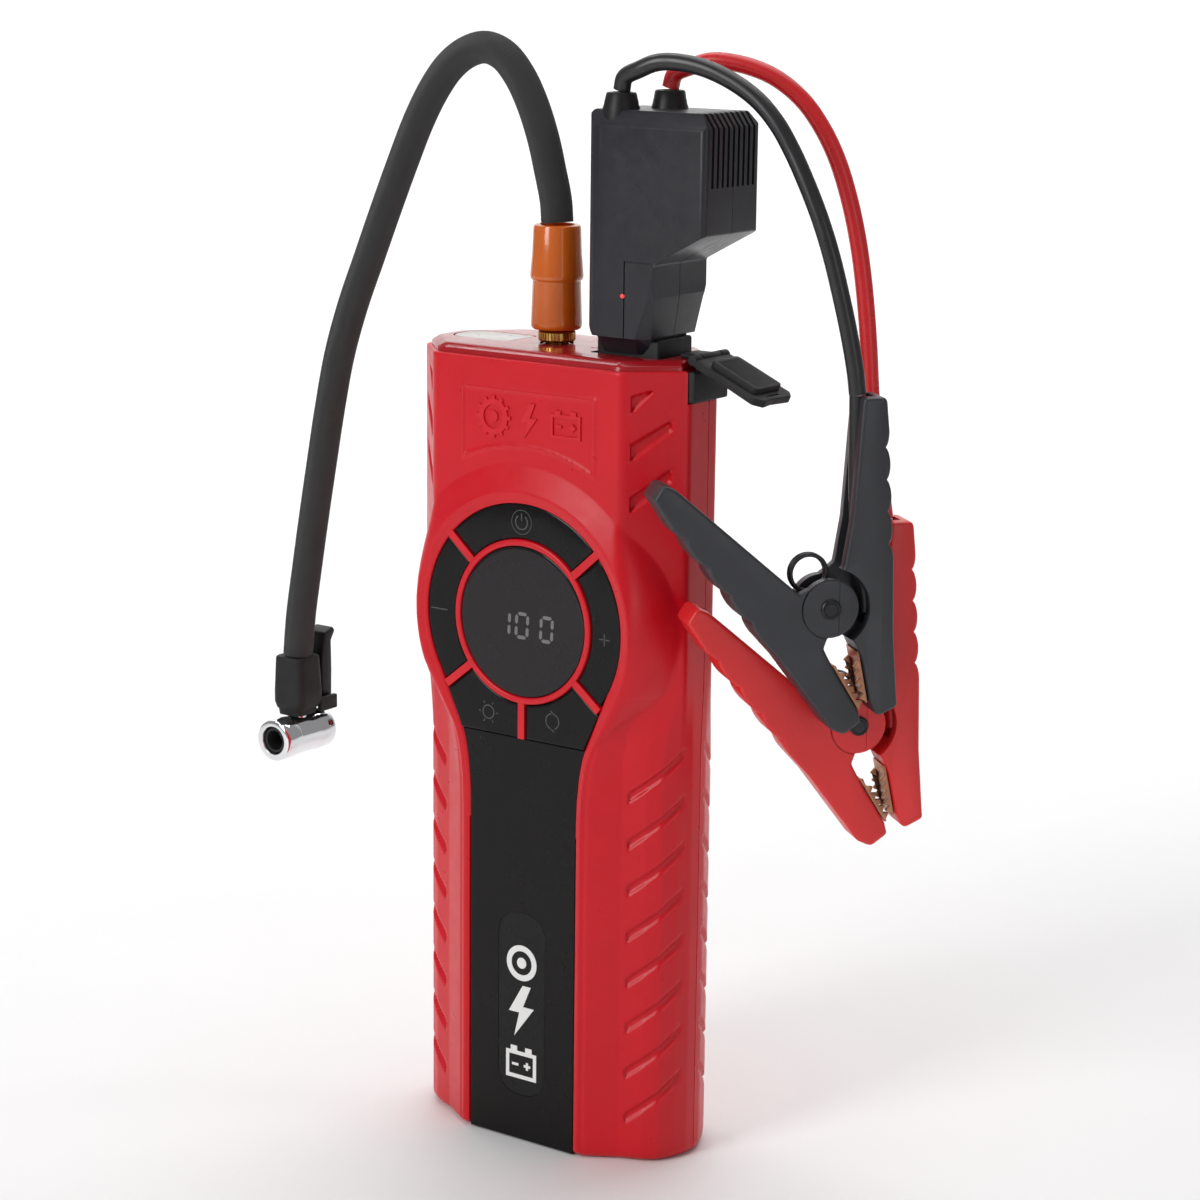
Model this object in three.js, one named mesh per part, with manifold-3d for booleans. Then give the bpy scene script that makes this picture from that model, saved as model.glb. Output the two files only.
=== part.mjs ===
// A jump starter pack with a built-in tyre pump, in millimetres, +Z up, front towards -Y, right towards +X.
// The pack stands on Z = 0. The air hose is screwed on the top, and the smart plug with its two clamp leads
// sits in the jump socket beside it.
import * as THREE from "three";
import { mergeVertices } from "three/addons/utils/BufferGeometryUtils.js";
import Module from "manifold-3d";

const wasm = await Module();
wasm.setup();

// ---- Driving dimensions ----
const GAP = 0.3; // clearance between touching pieces
const WIDTH = 94;
const DEPTH = 45;
const HEIGHT = 238; // to the top of the cap
const RIM_Z = 235.3; // top of the two shells
const CAP_BASE_Z = 232.5;
const WALL = 2.2;
const FLOOR = 2.4;
const SEAM_Y = 1; // where the front and rear shells meet
const FRONT_Y = -DEPTH / 2;
const WAIST_Z = 145; // the lower, bowed cross-section meets the upper, faceted one behind the dial

const DIAL_Z = 159.8;
const DISPLAY_R = 22;
const RING_R = 24.2; // outer radius of the red ring around the display
const DIAL_R = 34.4; // outer radius of the button ring
const DOME_R = 45.6;
const DOME_CREST_R = 37.6;
const DOME_RISE = 2;
const DIAL_FLOOR_Y = -20.6;
const SPOKE_ANGLES = [41.5, 138.5, 219, 270, 321];
const SPOKE_WIDTH = 2.4;
const BUTTON_CLEARANCE = 0.45;
const BUTTON_FRONT_Y = -23.4;
const BUTTON_BACK_Y = -21.6;
const LOWER_BUTTON_Z = 125.1; // the lower two buttons end here
const PANEL_HALF = 18.9;
const PANEL_NECK_Z = 112;

const NUT_X = -5.4; // air outlet, hose nut and sleeve share this axis
const SOCKET = { x0: 14.6, x1: 36.4, y0: -9, y1: 9 };
const PLUG = { left: 13, right: 54.2, stem: 37, half: 13.6, base: 243.3, top: 306.5 };

const CLAMP_YAW = THREE.MathUtils.degToRad(50);
const CLAMP_HALF = 6; // half of a clamp's thickness
const CLAMP_TOP = 58.2; // top of the fixed handle over the pivot
const BLACK_PIVOT = new THREE.Vector3(89, -3.3, 173.9);
const RED_PIVOT = new THREE.Vector3(86.9, 17.3, 136.2);

const HOSE_RADIUS = 4.7;
const CABLE_RADIUS = 2.45;
const CHUCK_X = -106.4;
const CHUCK_Z = 104;

// ---- Materials ----
function paint(colour, roughness, metalness = 0) {
  return new THREE.MeshStandardMaterial({ color: colour, roughness, metalness });
}
const redPlastic = paint(0xc2121f, 0.38);
const darkRedGloss = paint(0x8a0c14, 0.15);
const blackGloss = paint(0x0d0d0f, 0.12);
const blackPlastic = paint(0x1b1b1d, 0.55);
const greyBlack = paint(0x2c2c31, 0.5);
const blackRubber = paint(0x232224, 0.8);
const lensWhite = paint(0xb9b5ae, 0.25);
const brass = paint(0xc9a24a, 0.3, 1);
const chrome = paint(0xd8d8da, 0.1, 1);
const steel = paint(0xb0b0b0, 0.35, 1);
const orangeGloss = paint(0xc25a14, 0.25);
const braid = paint(0x161616, 0.85);
const copper = paint(0xb87a55, 0.35, 1);
const boardGreen = paint(0x175232, 0.6);
const cellBlue = paint(0x2b4a86, 0.45);
const clampRed = paint(0xd13433, 0.5);
const cableRed = paint(0xc0161c, 0.35);

// ---- Geometry helpers ----
// Round the corners of a closed outline whose points are [x, y, radius].
function roundedPoints(corners, steps = 4) {
  const out = [];
  corners.forEach(([x, y, radius = 0], i) => {
    const corner = new THREE.Vector2(x, y);
    if (!radius) {
      out.push(corner);
      return;
    }
    const before = new THREE.Vector2(...corners.at(i - 1)).sub(corner);
    const after = new THREE.Vector2(...corners[(i + 1) % corners.length]).sub(corner);
    const half = Math.acos(before.clone().normalize().dot(after.clone().normalize())) / 2;
    const reach = Math.min(radius / Math.tan(half), before.length() * 0.49, after.length() * 0.49);
    const start = corner.clone().add(before.setLength(reach));
    const end = corner.clone().add(after.setLength(reach));
    const curve = new THREE.QuadraticBezierCurve(start, corner, end);
    out.push(...curve.getPoints(steps));
  });
  return out;
}

function shapeOf(corners, steps) {
  return new THREE.Shape(roundedPoints(corners, steps));
}

function disc(radius, segments = 32, x = 0, y = 0) {
  const points = [];
  for (let i = 0; i < segments; i++) {
    const angle = (i * 2 * Math.PI) / segments;
    points.push(new THREE.Vector2(x + radius * Math.cos(angle), y + radius * Math.sin(angle)));
  }
  return new THREE.Shape(points);
}

function ring(outer, inner, segments = 32) {
  const shape = disc(outer, segments);
  shape.holes.push(disc(inner, segments));
  return shape;
}

function rectangle(x0, y0, x1, y1) {
  return new THREE.Shape([[x0, y0], [x1, y0], [x1, y1], [x0, y1]].map((p) => new THREE.Vector2(...p)));
}

function extrude(shape, depth) {
  return new THREE.ExtrudeGeometry(shape, { depth, bevelEnabled: false, curveSegments: 12 });
}

// A shape drawn in X and Y, from z0 up to z1.
function alongZ(shape, z0, z1) {
  return extrude(shape, z1 - z0).translate(0, 0, z0);
}

// A shape drawn in X and Z, from y0 back to y1.
function alongY(shape, y0, y1) {
  return extrude(shape, y1 - y0).rotateX(Math.PI / 2).translate(0, y1, 0);
}

// A shape drawn in Y and Z, from x0 to x1.
function alongX(shape, x0, x1) {
  const turn = new THREE.Matrix4().makeBasis(
    new THREE.Vector3(0, 1, 0), new THREE.Vector3(0, 0, 1), new THREE.Vector3(1, 0, 0));
  return extrude(shape, x1 - x0).applyMatrix4(turn).translate(x0, 0, 0);
}

function box(x0, y0, z0, x1, y1, z1) {
  return new THREE.BoxGeometry(x1 - x0, y1 - y0, z1 - z0)
    .translate((x0 + x1) / 2, (y0 + y1) / 2, (z0 + z1) / 2);
}

// A round solid about the Z axis; the profile is [radius, z] from the axis at the bottom to the axis on top.
function turned(profile, segments = 32) {
  return new THREE.LatheGeometry(profile.map((p) => new THREE.Vector2(...p)), segments).rotateX(Math.PI / 2);
}

function tube(points, radius, sides, steps) {
  const path = new THREE.CatmullRomCurve3(points.map((p) => new THREE.Vector3(...p)));
  return new THREE.ExtrudeGeometry(disc(radius, sides), { steps, extrudePath: path });
}

// ---- Booleans ----
function manifold(geometry) {
  const bare = geometry.clone();
  bare.deleteAttribute("normal");
  bare.deleteAttribute("uv");
  const merged = mergeVertices(bare, 1e-4);
  return new wasm.Manifold(new wasm.Mesh({
    numProp: 3,
    vertProperties: merged.getAttribute("position").array,
    triVerts: new Uint32Array(merged.index.array),
  }));
}

function geometryOf(result) {
  const mesh = result.getMesh();
  const geometry = new THREE.BufferGeometry();
  geometry.setAttribute("position", new THREE.BufferAttribute(new Float32Array(mesh.vertProperties), 3));
  geometry.setIndex(new THREE.BufferAttribute(new Uint32Array(mesh.triVerts), 1));
  geometry.computeVertexNormals();
  return geometry;
}

function join(...geometries) {
  return geometryOf(geometries.map(manifold).reduce((a, b) => a.add(b)));
}

function cut(geometry, ...tools) {
  return geometryOf(tools.map(manifold).reduce((a, b) => a.subtract(b), manifold(geometry)));
}

function common(a, b) {
  return geometryOf(manifold(a).intersect(manifold(b)));
}

const pack = new THREE.Group();

function part(name, geometry, material, parent = pack) {
  const mesh = new THREE.Mesh(geometry, material);
  mesh.name = name;
  parent.add(mesh);
  return mesh;
}

function mirrored(half) {
  return [...half, ...half.map(([x, y, r]) => [-x, y, r]).reverse()];
}

// ---- Housing ----
const upperHalf = [[33, FRONT_Y, 5], [WIDTH / 2, -8.5, 6], [WIDTH / 2, 5, 8], [32, -FRONT_Y, 9]];
const lowerHalf = [[23, FRONT_Y, 3], [31.5, -17, 3], [42.5, -11.5, 6], [WIDTH / 2, 0, 8], [42.5, 13, 8],
  [31, -FRONT_Y, 8]];
const upperInner = [[31.8, FRONT_Y + WALL, 4], [WIDTH / 2 - WALL, -7.6, 4], [WIDTH / 2 - WALL, 4.1, 6],
  [31.2, -FRONT_Y - WALL, 7]];
const lowerInner = [[22, FRONT_Y + 2.6, 2], [30.5, -14.5, 3], [40.5, -9.8, 5], [WIDTH / 2 - WALL, 0, 6],
  [40.5, 11.6, 6], [30, -FRONT_Y - WALL, 6]];

function housingOutside() {
  const dome = turned([
    [0, 0], [DOME_R, 0], [DOME_R, 6], [DOME_CREST_R, 6 + DOME_RISE], [0, 6 + DOME_RISE],
  ], 48).rotateX(Math.PI / 2).translate(0, FRONT_Y + 6, DIAL_Z);
  return join(
    alongZ(shapeOf(mirrored(lowerHalf)), 0, WAIST_Z),
    alongZ(shapeOf(mirrored(upperHalf)), WAIST_Z - 1, RIM_Z),
    common(dome, alongY(rectangle(-43, 100, 43, 220), FRONT_Y - 5, FRONT_Y + 8)),
  );
}

function housingInside() {
  return join(
    alongZ(shapeOf(mirrored(lowerInner)), FLOOR, WAIST_Z + 1),
    alongZ(shapeOf(mirrored(upperInner)), WAIST_Z, CAP_BASE_Z),
    alongZ(shapeOf(capOutline(GAP)), CAP_BASE_Z - 0.5, RIM_Z + 1),
  );
}

// The cap sits inside the rim of the shells, with a narrow shadow gap all round.
function capOutline(margin) {
  const inset = 1.3 - margin;
  return mirrored([[32.4, FRONT_Y + inset, 6], [WIDTH / 2 - inset, -8.2, 7], [WIDTH / 2 - inset, 5, 8],
    [31.4, -FRONT_Y - inset, 9]]);
}

// Outline of the black panel in front view: a narrow strip that widens in two S-curves up to the button ring.
function panelEdge(margin) {
  return mirrored([
    [PANEL_HALF + margin, -2], [PANEL_HALF + margin, PANEL_NECK_Z - 8, 12], [20.4 + margin, 122, 12],
    [25.6 + margin, 132.4, 8], [26.6 + margin, DIAL_Z - 24],
  ]);
}

const pocketFront = FRONT_Y - 8;
const dialPocket = alongY(disc(DIAL_R, 64, 0, DIAL_Z), pocketFront, DIAL_FLOOR_Y + 3);
const panelPocket = alongY(shapeOf(panelEdge(0)), pocketFront, DIAL_FLOOR_Y);
const portPocket = box(-WIDTH / 2 - 1, -5, 188, -WIDTH / 2 + 4, 5, 220);
const strapPocket = box(WIDTH / 2 - 1.4, -9, 226, WIDTH / 2 + 1, 9, RIM_Z + 1);
const beforeSeam = box(-60, -40, -1, 60, SEAM_Y, 260);
const behindSeam = box(-60, SEAM_Y + GAP, -1, 60, 40, 260);
const housing = cut(housingOutside(), housingInside(), dialPocket, panelPocket, portPocket, strapPocket);
const screwHoles = [-30, 30].map((x) => alongY(disc(2.2, 16, x, 14), 15, 30));

part("front_shell", common(housing, beforeSeam), redPlastic);
part("rear_shell", cut(common(housing, behindSeam), ...screwHoles), redPlastic);

function capShape() {
  const shape = shapeOf(capOutline(0));
  shape.holes.push(shapeOf([[-40.6, -7.6, 7], [-18, -7.6, 1.5], [-18, 7.6, 1.5], [-40.6, 7.6, 7]], 6));
  shape.holes.push(disc(4.8, 24, NUT_X, 0));
  shape.holes.push(rectangle(SOCKET.x0 - 1.4, SOCKET.y0 - 1.4, SOCKET.x1 + 1.4, SOCKET.y1 + 1.4));
  return shape;
}
const capStrapNotch = box(WIDTH / 2 - 3.2, -9, CAP_BASE_Z - 1, WIDTH / 2 + 2, 9, HEIGHT + 1);
part("top_cap", cut(alongZ(capShape(), CAP_BASE_Z + GAP, HEIGHT), capStrapNotch), darkRedGloss);

// ---- Dial, buttons and display ----
function dialFrame() {
  const spokes = SPOKE_ANGLES.map((angle) => {
    const reach = angle === 270 ? DIAL_Z - LOWER_BUTTON_Z - GAP : DIAL_R - GAP;
    const bar = box(RING_R - 1, BUTTON_FRONT_Y - 0.3, -SPOKE_WIDTH / 2, reach, DIAL_FLOOR_Y, SPOKE_WIDTH / 2);
    return bar.rotateY(-THREE.MathUtils.degToRad(angle));
  });
  const plate = alongY(ring(DIAL_R - GAP, 10, 48), DIAL_FLOOR_Y - 0.2, DIAL_FLOOR_Y + 1.2);
  const collar = alongY(ring(RING_R, DISPLAY_R + GAP, 48), BUTTON_FRONT_Y - 0.4, DIAL_FLOOR_Y);
  return join(plate, collar, ...spokes).translate(0, 0, DIAL_Z);
}
part("dial_frame", dialFrame(), redPlastic);
part("display_window", alongY(disc(DISPLAY_R, 48, 0, DIAL_Z), -22.3, DIAL_FLOOR_Y - 0.5), blackGloss);

// A button fills the ring between two spokes, short of each by the clearance.
function buttonOutline(from, to) {
  const inner = RING_R + BUTTON_CLEARANCE;
  const outer = DIAL_R - BUTTON_CLEARANCE;
  const offset = SPOKE_WIDTH / 2 + BUTTON_CLEARANCE;
  const points = [];
  const steps = 12;
  const arc = (radius, start, end) => {
    const trim = Math.asin(offset / radius);
    const first = THREE.MathUtils.degToRad(start) + (end > start ? trim : -trim);
    const last = THREE.MathUtils.degToRad(end) - (end > start ? trim : -trim);
    for (let i = 0; i <= steps; i++) {
      const angle = first + ((last - first) * i) / steps;
      points.push(new THREE.Vector2(radius * Math.cos(angle), DIAL_Z + radius * Math.sin(angle)));
    }
  };
  arc(outer, from, to);
  arc(inner, to, from);
  return new THREE.Shape(points);
}

function ringButton(from, to) {
  return alongY(buttonOutline(from, to), BUTTON_FRONT_Y, BUTTON_BACK_Y);
}

// The lower two buttons run on down to a straight edge over the panel.
function lowerButton(side) {
  const apron = shapeOf([[1.7, LOWER_BUTTON_Z], [22.6, LOWER_BUTTON_Z], [27, 136.5], [20, 141], [8, 134],
    [1.7, 133]]);
  const angles = side > 0 ? [270, 321] : [219, 270];
  const blade = alongY(apron, BUTTON_FRONT_Y, BUTTON_BACK_Y);
  const limits = alongY(buttonLimits(), BUTTON_FRONT_Y - 1, BUTTON_BACK_Y + 1);
  const full = common(blade, limits);
  const turnedBlade = side > 0 ? full : mirrorX(full);
  const inPanel = alongY(shapeOf(panelEdge(-BUTTON_CLEARANCE)), BUTTON_FRONT_Y - 1, BUTTON_BACK_Y + 1);
  return join(ringButton(...angles), common(turnedBlade, inPanel));
}

// Room for the lower right button: outside the ring's collar and below its spoke.
function buttonLimits() {
  const angle = THREE.MathUtils.degToRad(321);
  const offset = SPOKE_WIDTH / 2 + BUTTON_CLEARANCE;
  const inner = RING_R + BUTTON_CLEARANCE;
  const along = new THREE.Vector2(Math.cos(angle), Math.sin(angle));
  const below = new THREE.Vector2(along.y, -along.x).multiplyScalar(offset);
  const start = along.clone().multiplyScalar(inner + 1).add(below);
  const end = along.clone().multiplyScalar(38.5).add(below);
  const points = [[1.65, LOWER_BUTTON_Z], [22.8, LOWER_BUTTON_Z], [end.x, end.y + DIAL_Z],
    [start.x, start.y + DIAL_Z]];
  for (let turn = 312; turn >= 275; turn -= 4) {
    const a = THREE.MathUtils.degToRad(turn);
    points.push([(inner + 0.2) * Math.cos(a), DIAL_Z + (inner + 0.2) * Math.sin(a)]);
  }
  return new THREE.Shape(points.map((p) => new THREE.Vector2(...p)));
}

function mirrorX(geometry) {
  const flipped = geometry.clone().applyMatrix4(new THREE.Matrix4().makeScale(-1, 1, 1));
  const index = flipped.index.array;
  for (let i = 0; i < index.length; i += 3) {
    [index[i], index[i + 1]] = [index[i + 1], index[i]];
  }
  return flipped;
}

part("button_power", ringButton(41.5, 138.5), blackGloss);
part("button_minus", ringButton(138.5, 219), blackGloss);
part("button_plus", ringButton(-39, 41.5), blackGloss);
part("button_light", lowerButton(-1), blackGloss);
part("button_mode", lowerButton(1), blackGloss);

const panelTop = alongY(rectangle(-40, -5, 40, LOWER_BUTTON_Z - BUTTON_CLEARANCE), -60, 0);
const panelBody = alongY(shapeOf(panelEdge(-GAP)), FRONT_Y + 0.5, DIAL_FLOOR_Y - GAP);
part("front_panel", common(common(panelBody, panelTop), box(-60, -60, 0, 60, 60, 300)), blackGloss);

// ---- Torch, on the top's left ----
const lensOutline = (inset) => shapeOf([
  [-40.3 + inset, -7.3 + inset, 7], [-18.3 - inset, -7.3 + inset, 1.4],
  [-18.3 - inset, 7.3 - inset, 1.4], [-40.3 + inset, 7.3 - inset, 7],
], 6);
part("torch_lens", alongZ(lensOutline(0), HEIGHT - 1.8, HEIGHT + 0.2), lensWhite);
const reflectorBlock = alongZ(lensOutline(0), 222, HEIGHT - 1.8 - GAP);
const cupProfile = [[0, 225], [1.8, 225], [4, 240], [0, 240]];
const reflectorCups = [-34, -25].map((x) => turned(cupProfile, 20).translate(x, 0, 0));
part("torch_reflector", cut(reflectorBlock, ...reflectorCups), chrome);

// ---- Jump socket, its flap and the side port cover ----
const socketBody = box(SOCKET.x0 - 1.1, SOCKET.y0 - 1.1, 212, SOCKET.x1 + 1.1, SOCKET.y1 + 1.1, HEIGHT - 0.4);
const socketHollow = box(SOCKET.x0, SOCKET.y0, 214.5, SOCKET.x1, SOCKET.y1, HEIGHT + 1);
part("jump_socket", cut(socketBody, socketHollow), blackPlastic);

const FLAP_PIVOT = new THREE.Vector3(WIDTH / 2 + 0.4, 0, 238.4);
const FLAP_DROP = THREE.MathUtils.degToRad(15);
function flapStrap() {
  const leg = box(WIDTH / 2 - 1.1, -8.7, 226.3, WIDTH / 2 + 1.4, 8.7, 235.2);
  const knuckle = alongY(disc(1.5, 16, FLAP_PIVOT.x, FLAP_PIVOT.z), -4.5, 4.5);
  const web = box(WIDTH / 2 - 1.1, -4.5, 235, WIDTH / 2 + 1.4, 4.5, 238.2);
  return cut(join(leg, web, knuckle), alongY(disc(0.75, 12, FLAP_PIVOT.x, FLAP_PIVOT.z), -10, 10));
}
part("flap_strap", flapStrap(), blackRubber);

// The flap lies open, dropping outwards from its hinge; drawn flat first, then turned about the pin.
function socketFlap() {
  const outline = [[3.2, -9, 1], [27, -9, 1], [29, -6.6, 1], [29, 7, 1.5], [27, 9, 1], [3.2, 9, 1]];
  const plate = alongZ(shapeOf(outline), -1.4, 1);
  const bung = alongZ(shapeOf([[7, -6.6, 1], [24.5, -6.6, 1], [24.5, 6.6, 1], [7, 6.6, 1]]), 0.8, 2.6);
  const ears = [[-8.7, -4.9], [4.9, 8.7]].map(([y0, y1]) =>
    join(alongY(disc(1.5, 16), y0, y1), box(0, y0, -1.2, 4, y1, 0.9)));
  const pin = alongY(disc(0.6, 12), -8, 8);
  return join(plate, bung, ...ears, pin);
}
const flapMesh = part("socket_flap", socketFlap(), blackRubber);
flapMesh.position.copy(FLAP_PIVOT);
flapMesh.rotation.y = FLAP_DROP;

function portCover() {
  const plate = box(-WIDTH / 2 - 0.4, -4.7, 188.3, -WIDTH / 2 + 1.2, 4.7, 219.7);
  const pins = box(-WIDTH / 2 + 1.1, -4, 188.3, -WIDTH / 2 + 2.4, 4, 190.6);
  return join(plate, pins);
}
part("port_cover", portCover(), blackRubber);

// A port shell is hollow towards -X, with a tongue in the middle of the opening.
function usbPort(halfY, z0, z1, tongue) {
  const body = box(-44.2, -halfY, z0, -32, halfY, z1);
  const hollow = box(-45, -halfY + 0.6, z0 + 0.6, -33, halfY - 0.6, z1 - 0.6);
  const blade = box(-42.5, -tongue, z0 + 2, -32.5, tongue, z1 - 2);
  return join(cut(body, hollow), blade);
}
part("usb_port_a", usbPort(3.3, 203, 217.5, 1), steel);
part("usb_port_c", usbPort(2.2, 191.5, 201, 0.5), steel);

// ---- Boards and battery ----
part("main_board", box(-24, -16.9, 118, 24, -15.4, 226), boardGreen);
[-13.4, 2.4].forEach((y, i) => {
  const outline = shapeOf([[-28, y, 2], [28, y, 2], [28, y + 15.2, 2], [-28, y + 15.2, 2]]);
  part(`battery_cell_${i + 1}`, alongZ(outline, 5, 112), cellBlue);
});
[-30, 30].forEach((x, i) => {
  const head = alongY(disc(2, 16, x, 14), 20.4, 22);
  const shank = alongY(disc(1.2, 12, x, 14), 15.5, 20.6);
  part(`case_screw_${i + 1}`, join(head, shank), steel);
});

// ---- Compressor: motor, reduction gear, crank, rod, piston and cylinder ----
const MODULE = 0.8;
const GEAR_TEETH = 40;
const PINION_TEETH = 10;
const CRANK_Z = 140;
const CRANK_THROW = 6;
const GEAR_X = NUT_X;
const MOTOR_X = GEAR_X + (MODULE * (GEAR_TEETH + PINION_TEETH)) / 2;
const GEAR_Y0 = -9;
const GEAR_Y1 = -5;
const ROD_Y0 = -4;
const ROD_Y1 = -1;
const ROD_LENGTH = 28;
const PIN_Z = CRANK_Z + CRANK_THROW + ROD_LENGTH;
const ROD_Y = (ROD_Y0 + ROD_Y1) / 2;

// Straight-flanked teeth about the origin; phase is the angle of the first tooth.
function gearShape(teeth, phase) {
  const pitchRadius = (MODULE * teeth) / 2;
  const points = [];
  const step = (2 * Math.PI) / teeth;
  for (let i = 0; i < teeth; i++) {
    const centre = phase + i * step;
    [[-0.3, -1.05], [-0.13, 0.8], [0.13, 0.8], [0.3, -1.05]].forEach(([turn, height]) => {
      const radius = pitchRadius + height * MODULE;
      const angle = centre + turn * step;
      points.push(new THREE.Vector2(radius * Math.cos(angle), radius * Math.sin(angle)));
    });
  }
  return new THREE.Shape(points);
}

function crankGear() {
  const wheel = gearShape(GEAR_TEETH, Math.PI / GEAR_TEETH);
  wheel.holes.push(disc(2.3, 20));
  const pin = alongY(disc(1.6, 16, 0, CRANK_THROW), GEAR_Y1 - 1, GEAR_Y1 + 0.7);
  return join(alongY(wheel, GEAR_Y0, GEAR_Y1), pin).translate(GEAR_X, 0, CRANK_Z);
}
part("crank_gear", crankGear(), steel);

function motorPinion() {
  const teeth = alongY(gearShape(PINION_TEETH, Math.PI), GEAR_Y0 - 0.2, GEAR_Y1 + 0.2);
  const shaft = alongY(disc(1, 16), GEAR_Y1, 0.7);
  return join(teeth, shaft).translate(MOTOR_X, 0, CRANK_Z);
}
part("motor_pinion", motorPinion(), brass);
part("motor", alongY(disc(11, 32, MOTOR_X, CRANK_Z), 1.4, 19.5), steel);

function compressorFrame() {
  const plate = alongY(rectangle(-16, 128, 28, 168), -13.6, -11.8);
  const axle = alongY(disc(2, 20, GEAR_X, CRANK_Z), -12, GEAR_Y1 - 0.2);
  const post = box(25.4, -12, 128, 28, 1.1, 152);
  const motorPlate = cut(box(7.2, -0.6, 128, 28, 1.1, 152), alongY(disc(2, 16, MOTOR_X, CRANK_Z), -2, 3));
  const neck = box(-14, -13.6, 160, 3.2, -11.8, 196);
  return join(plate, axle, post, motorPlate, neck);
}
part("compressor_frame", compressorFrame(), steel);

function conRod() {
  const big = disc(4.4, 24);
  big.holes.push(disc(2.1, 16));
  const small = disc(2.9, 20);
  small.holes.push(disc(1.5, 16));
  const shank = box(-1.3, ROD_Y0, -ROD_LENGTH + 3.6, 1.3, ROD_Y1, -2.3);
  return join(alongY(big, ROD_Y0, ROD_Y1).translate(0, 0, -ROD_LENGTH), alongY(small, ROD_Y0, ROD_Y1), shank)
    .translate(GEAR_X, 0, PIN_Z);
}
part("con_rod", conRod(), steel);

function pistonSolid() {
  const body = turned([[0, -4], [6.3, -4], [6.3, 7], [0, 7]], 32);
  const slot = box(-7, ROD_Y0 - ROD_Y - 0.4, -5, 7, ROD_Y1 - ROD_Y + 0.4, 3.6);
  const pin = alongY(disc(1.2, 16), -5.6, 5.6);
  return join(cut(body, slot), pin).translate(GEAR_X, ROD_Y, PIN_Z);
}
part("piston", pistonSolid(), steel);

function cylinderSolid() {
  const barrel = turned([[6.6, -15.5], [8.7, -15.5], [8.7, 14], [2, 14], [2, 8.2], [6.6, 8.2], [6.6, -15.5]], 32);
  return barrel.translate(GEAR_X, ROD_Y, PIN_Z);
}
part("cylinder", cylinderSolid(), steel);

// The outlet rises from the cylinder head through the cap, and the hose nut screws on to it.
const outletProfile = [[1.4, PIN_Z + 14.5], [6, PIN_Z + 14.5], [6, CAP_BASE_Z - 4], [4.3, CAP_BASE_Z - 3],
  [4.3, HEIGHT - 0.4], [3.2, HEIGHT], [3.2, HEIGHT + 3], [2.7, HEIGHT + 3.4], [1.4, HEIGHT + 3.4],
  [1.4, PIN_Z + 14.5]];
part("air_outlet", turned(outletProfile, 24).translate(NUT_X, 0, 0), brass);

// ---- Air hose ----
const NUT_BASE = HEIGHT + 0.4;
function knurled(radius, z0, z1, teeth, depth) {
  const points = [];
  for (let i = 0; i < teeth * 2; i++) {
    const angle = (i * Math.PI) / teeth;
    const r = radius - (i % 2) * depth;
    points.push(new THREE.Vector2(r * Math.cos(angle), r * Math.sin(angle)));
  }
  const shape = new THREE.Shape(points);
  shape.holes.push(disc(4.6, 24));
  return alongZ(shape, z0, z1);
}
part("hose_nut", knurled(5.4, NUT_BASE, 241.9, 30, 0.35).translate(NUT_X, 0, 0), brass);

const SLEEVE_TOP = 272.2;
const sleeveProfile = [[2.5, 242.2], [7.3, 242.2], [7.75, 243.2], [7.75, 250], [7.3, 252.6],
  [7.15, SLEEVE_TOP - 12], [6.7, SLEEVE_TOP - 11], [6.5, SLEEVE_TOP - 1], [6, SLEEVE_TOP], [2.5, SLEEVE_TOP], [2.5, 242.2]];
part("hose_sleeve", turned(sleeveProfile, 24).translate(NUT_X - 0.2, 0, 0), orangeGloss);

const hoseRoute = [
  [-5.6, 0, 272.7], [-6.2, 0, 279], [-8.2, 0, 287], [-10.9, 0, 296.5], [-14.6, 0, 305.6], [-19.2, 0, 313.4],
  [-25, 0, 319.2], [-31.6, 0, 321.4], [-38.4, 0, 319.8], [-44.8, 0, 315.6], [-50.6, 0, 308.9], [-56.4, 0, 299.6],
  [-62.4, 0, 287.4], [-69.2, 0, 272.6], [-76, 0, 257.2], [-82.4, 0, 242.6], [-87.8, 0, 227.2], [-91.8, 0, 210.6],
  [-95.2, 0, 193.8], [-98.6, 0, 176.4], [-101.8, 0, 159], [-104.6, 0, 143], [-106, 0, 130.2],
];
part("air_hose", tube(hoseRoute, HOSE_RADIUS, 10, 44), braid);

function chuckGrip() {
  const outline = (half, z0, z1) => alongZ(shapeOf([[CHUCK_X - half, -half, 2], [CHUCK_X + half, -half, 2],
    [CHUCK_X + half, half + 0.6, 2], [CHUCK_X - half, half + 0.6, 2]]), z0, z1);
  const body = join(outline(6.9, 117.5, 129.7), outline(6, 110.6, 118));
  const ears = [-6, 4.2].map((x) => box(CHUCK_X + x, 5, 110.6, CHUCK_X + x + 1.8, 12.6, 115.5));
  return join(body, ...ears);
}
part("chuck_grip", chuckGrip(), blackRubber);

// The barrel lies along Y with its mouth at the front; the valve pushes into the seal there.
function chuckBarrel() {
  const profile = [[4.2, 0], [5.5, 0], [6, 0.6], [6, 7], [5.5, 7.6], [5.5, 16.5], [5.8, 17], [5.8, 23.4],
    [5.2, 24], [0, 24], [0, 15], [4.2, 15], [4.2, 0]];
  const barrel = turned(profile, 24).rotateX(-Math.PI / 2).translate(0, -12, 0);
  const stand = alongZ(disc(2.6, 20), 4.8, 6.2);
  return join(barrel, stand).translate(CHUCK_X, 0, CHUCK_Z);
}
part("chuck_barrel", chuckBarrel(), chrome);
function sealRing(outer, inner, y0, y1) {
  return alongY(ring(outer, inner, 32), y0, y1).translate(CHUCK_X, 0, CHUCK_Z);
}
part("chuck_seal", sealRing(3.9, 3.15, -11, -5), blackRubber);

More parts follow.
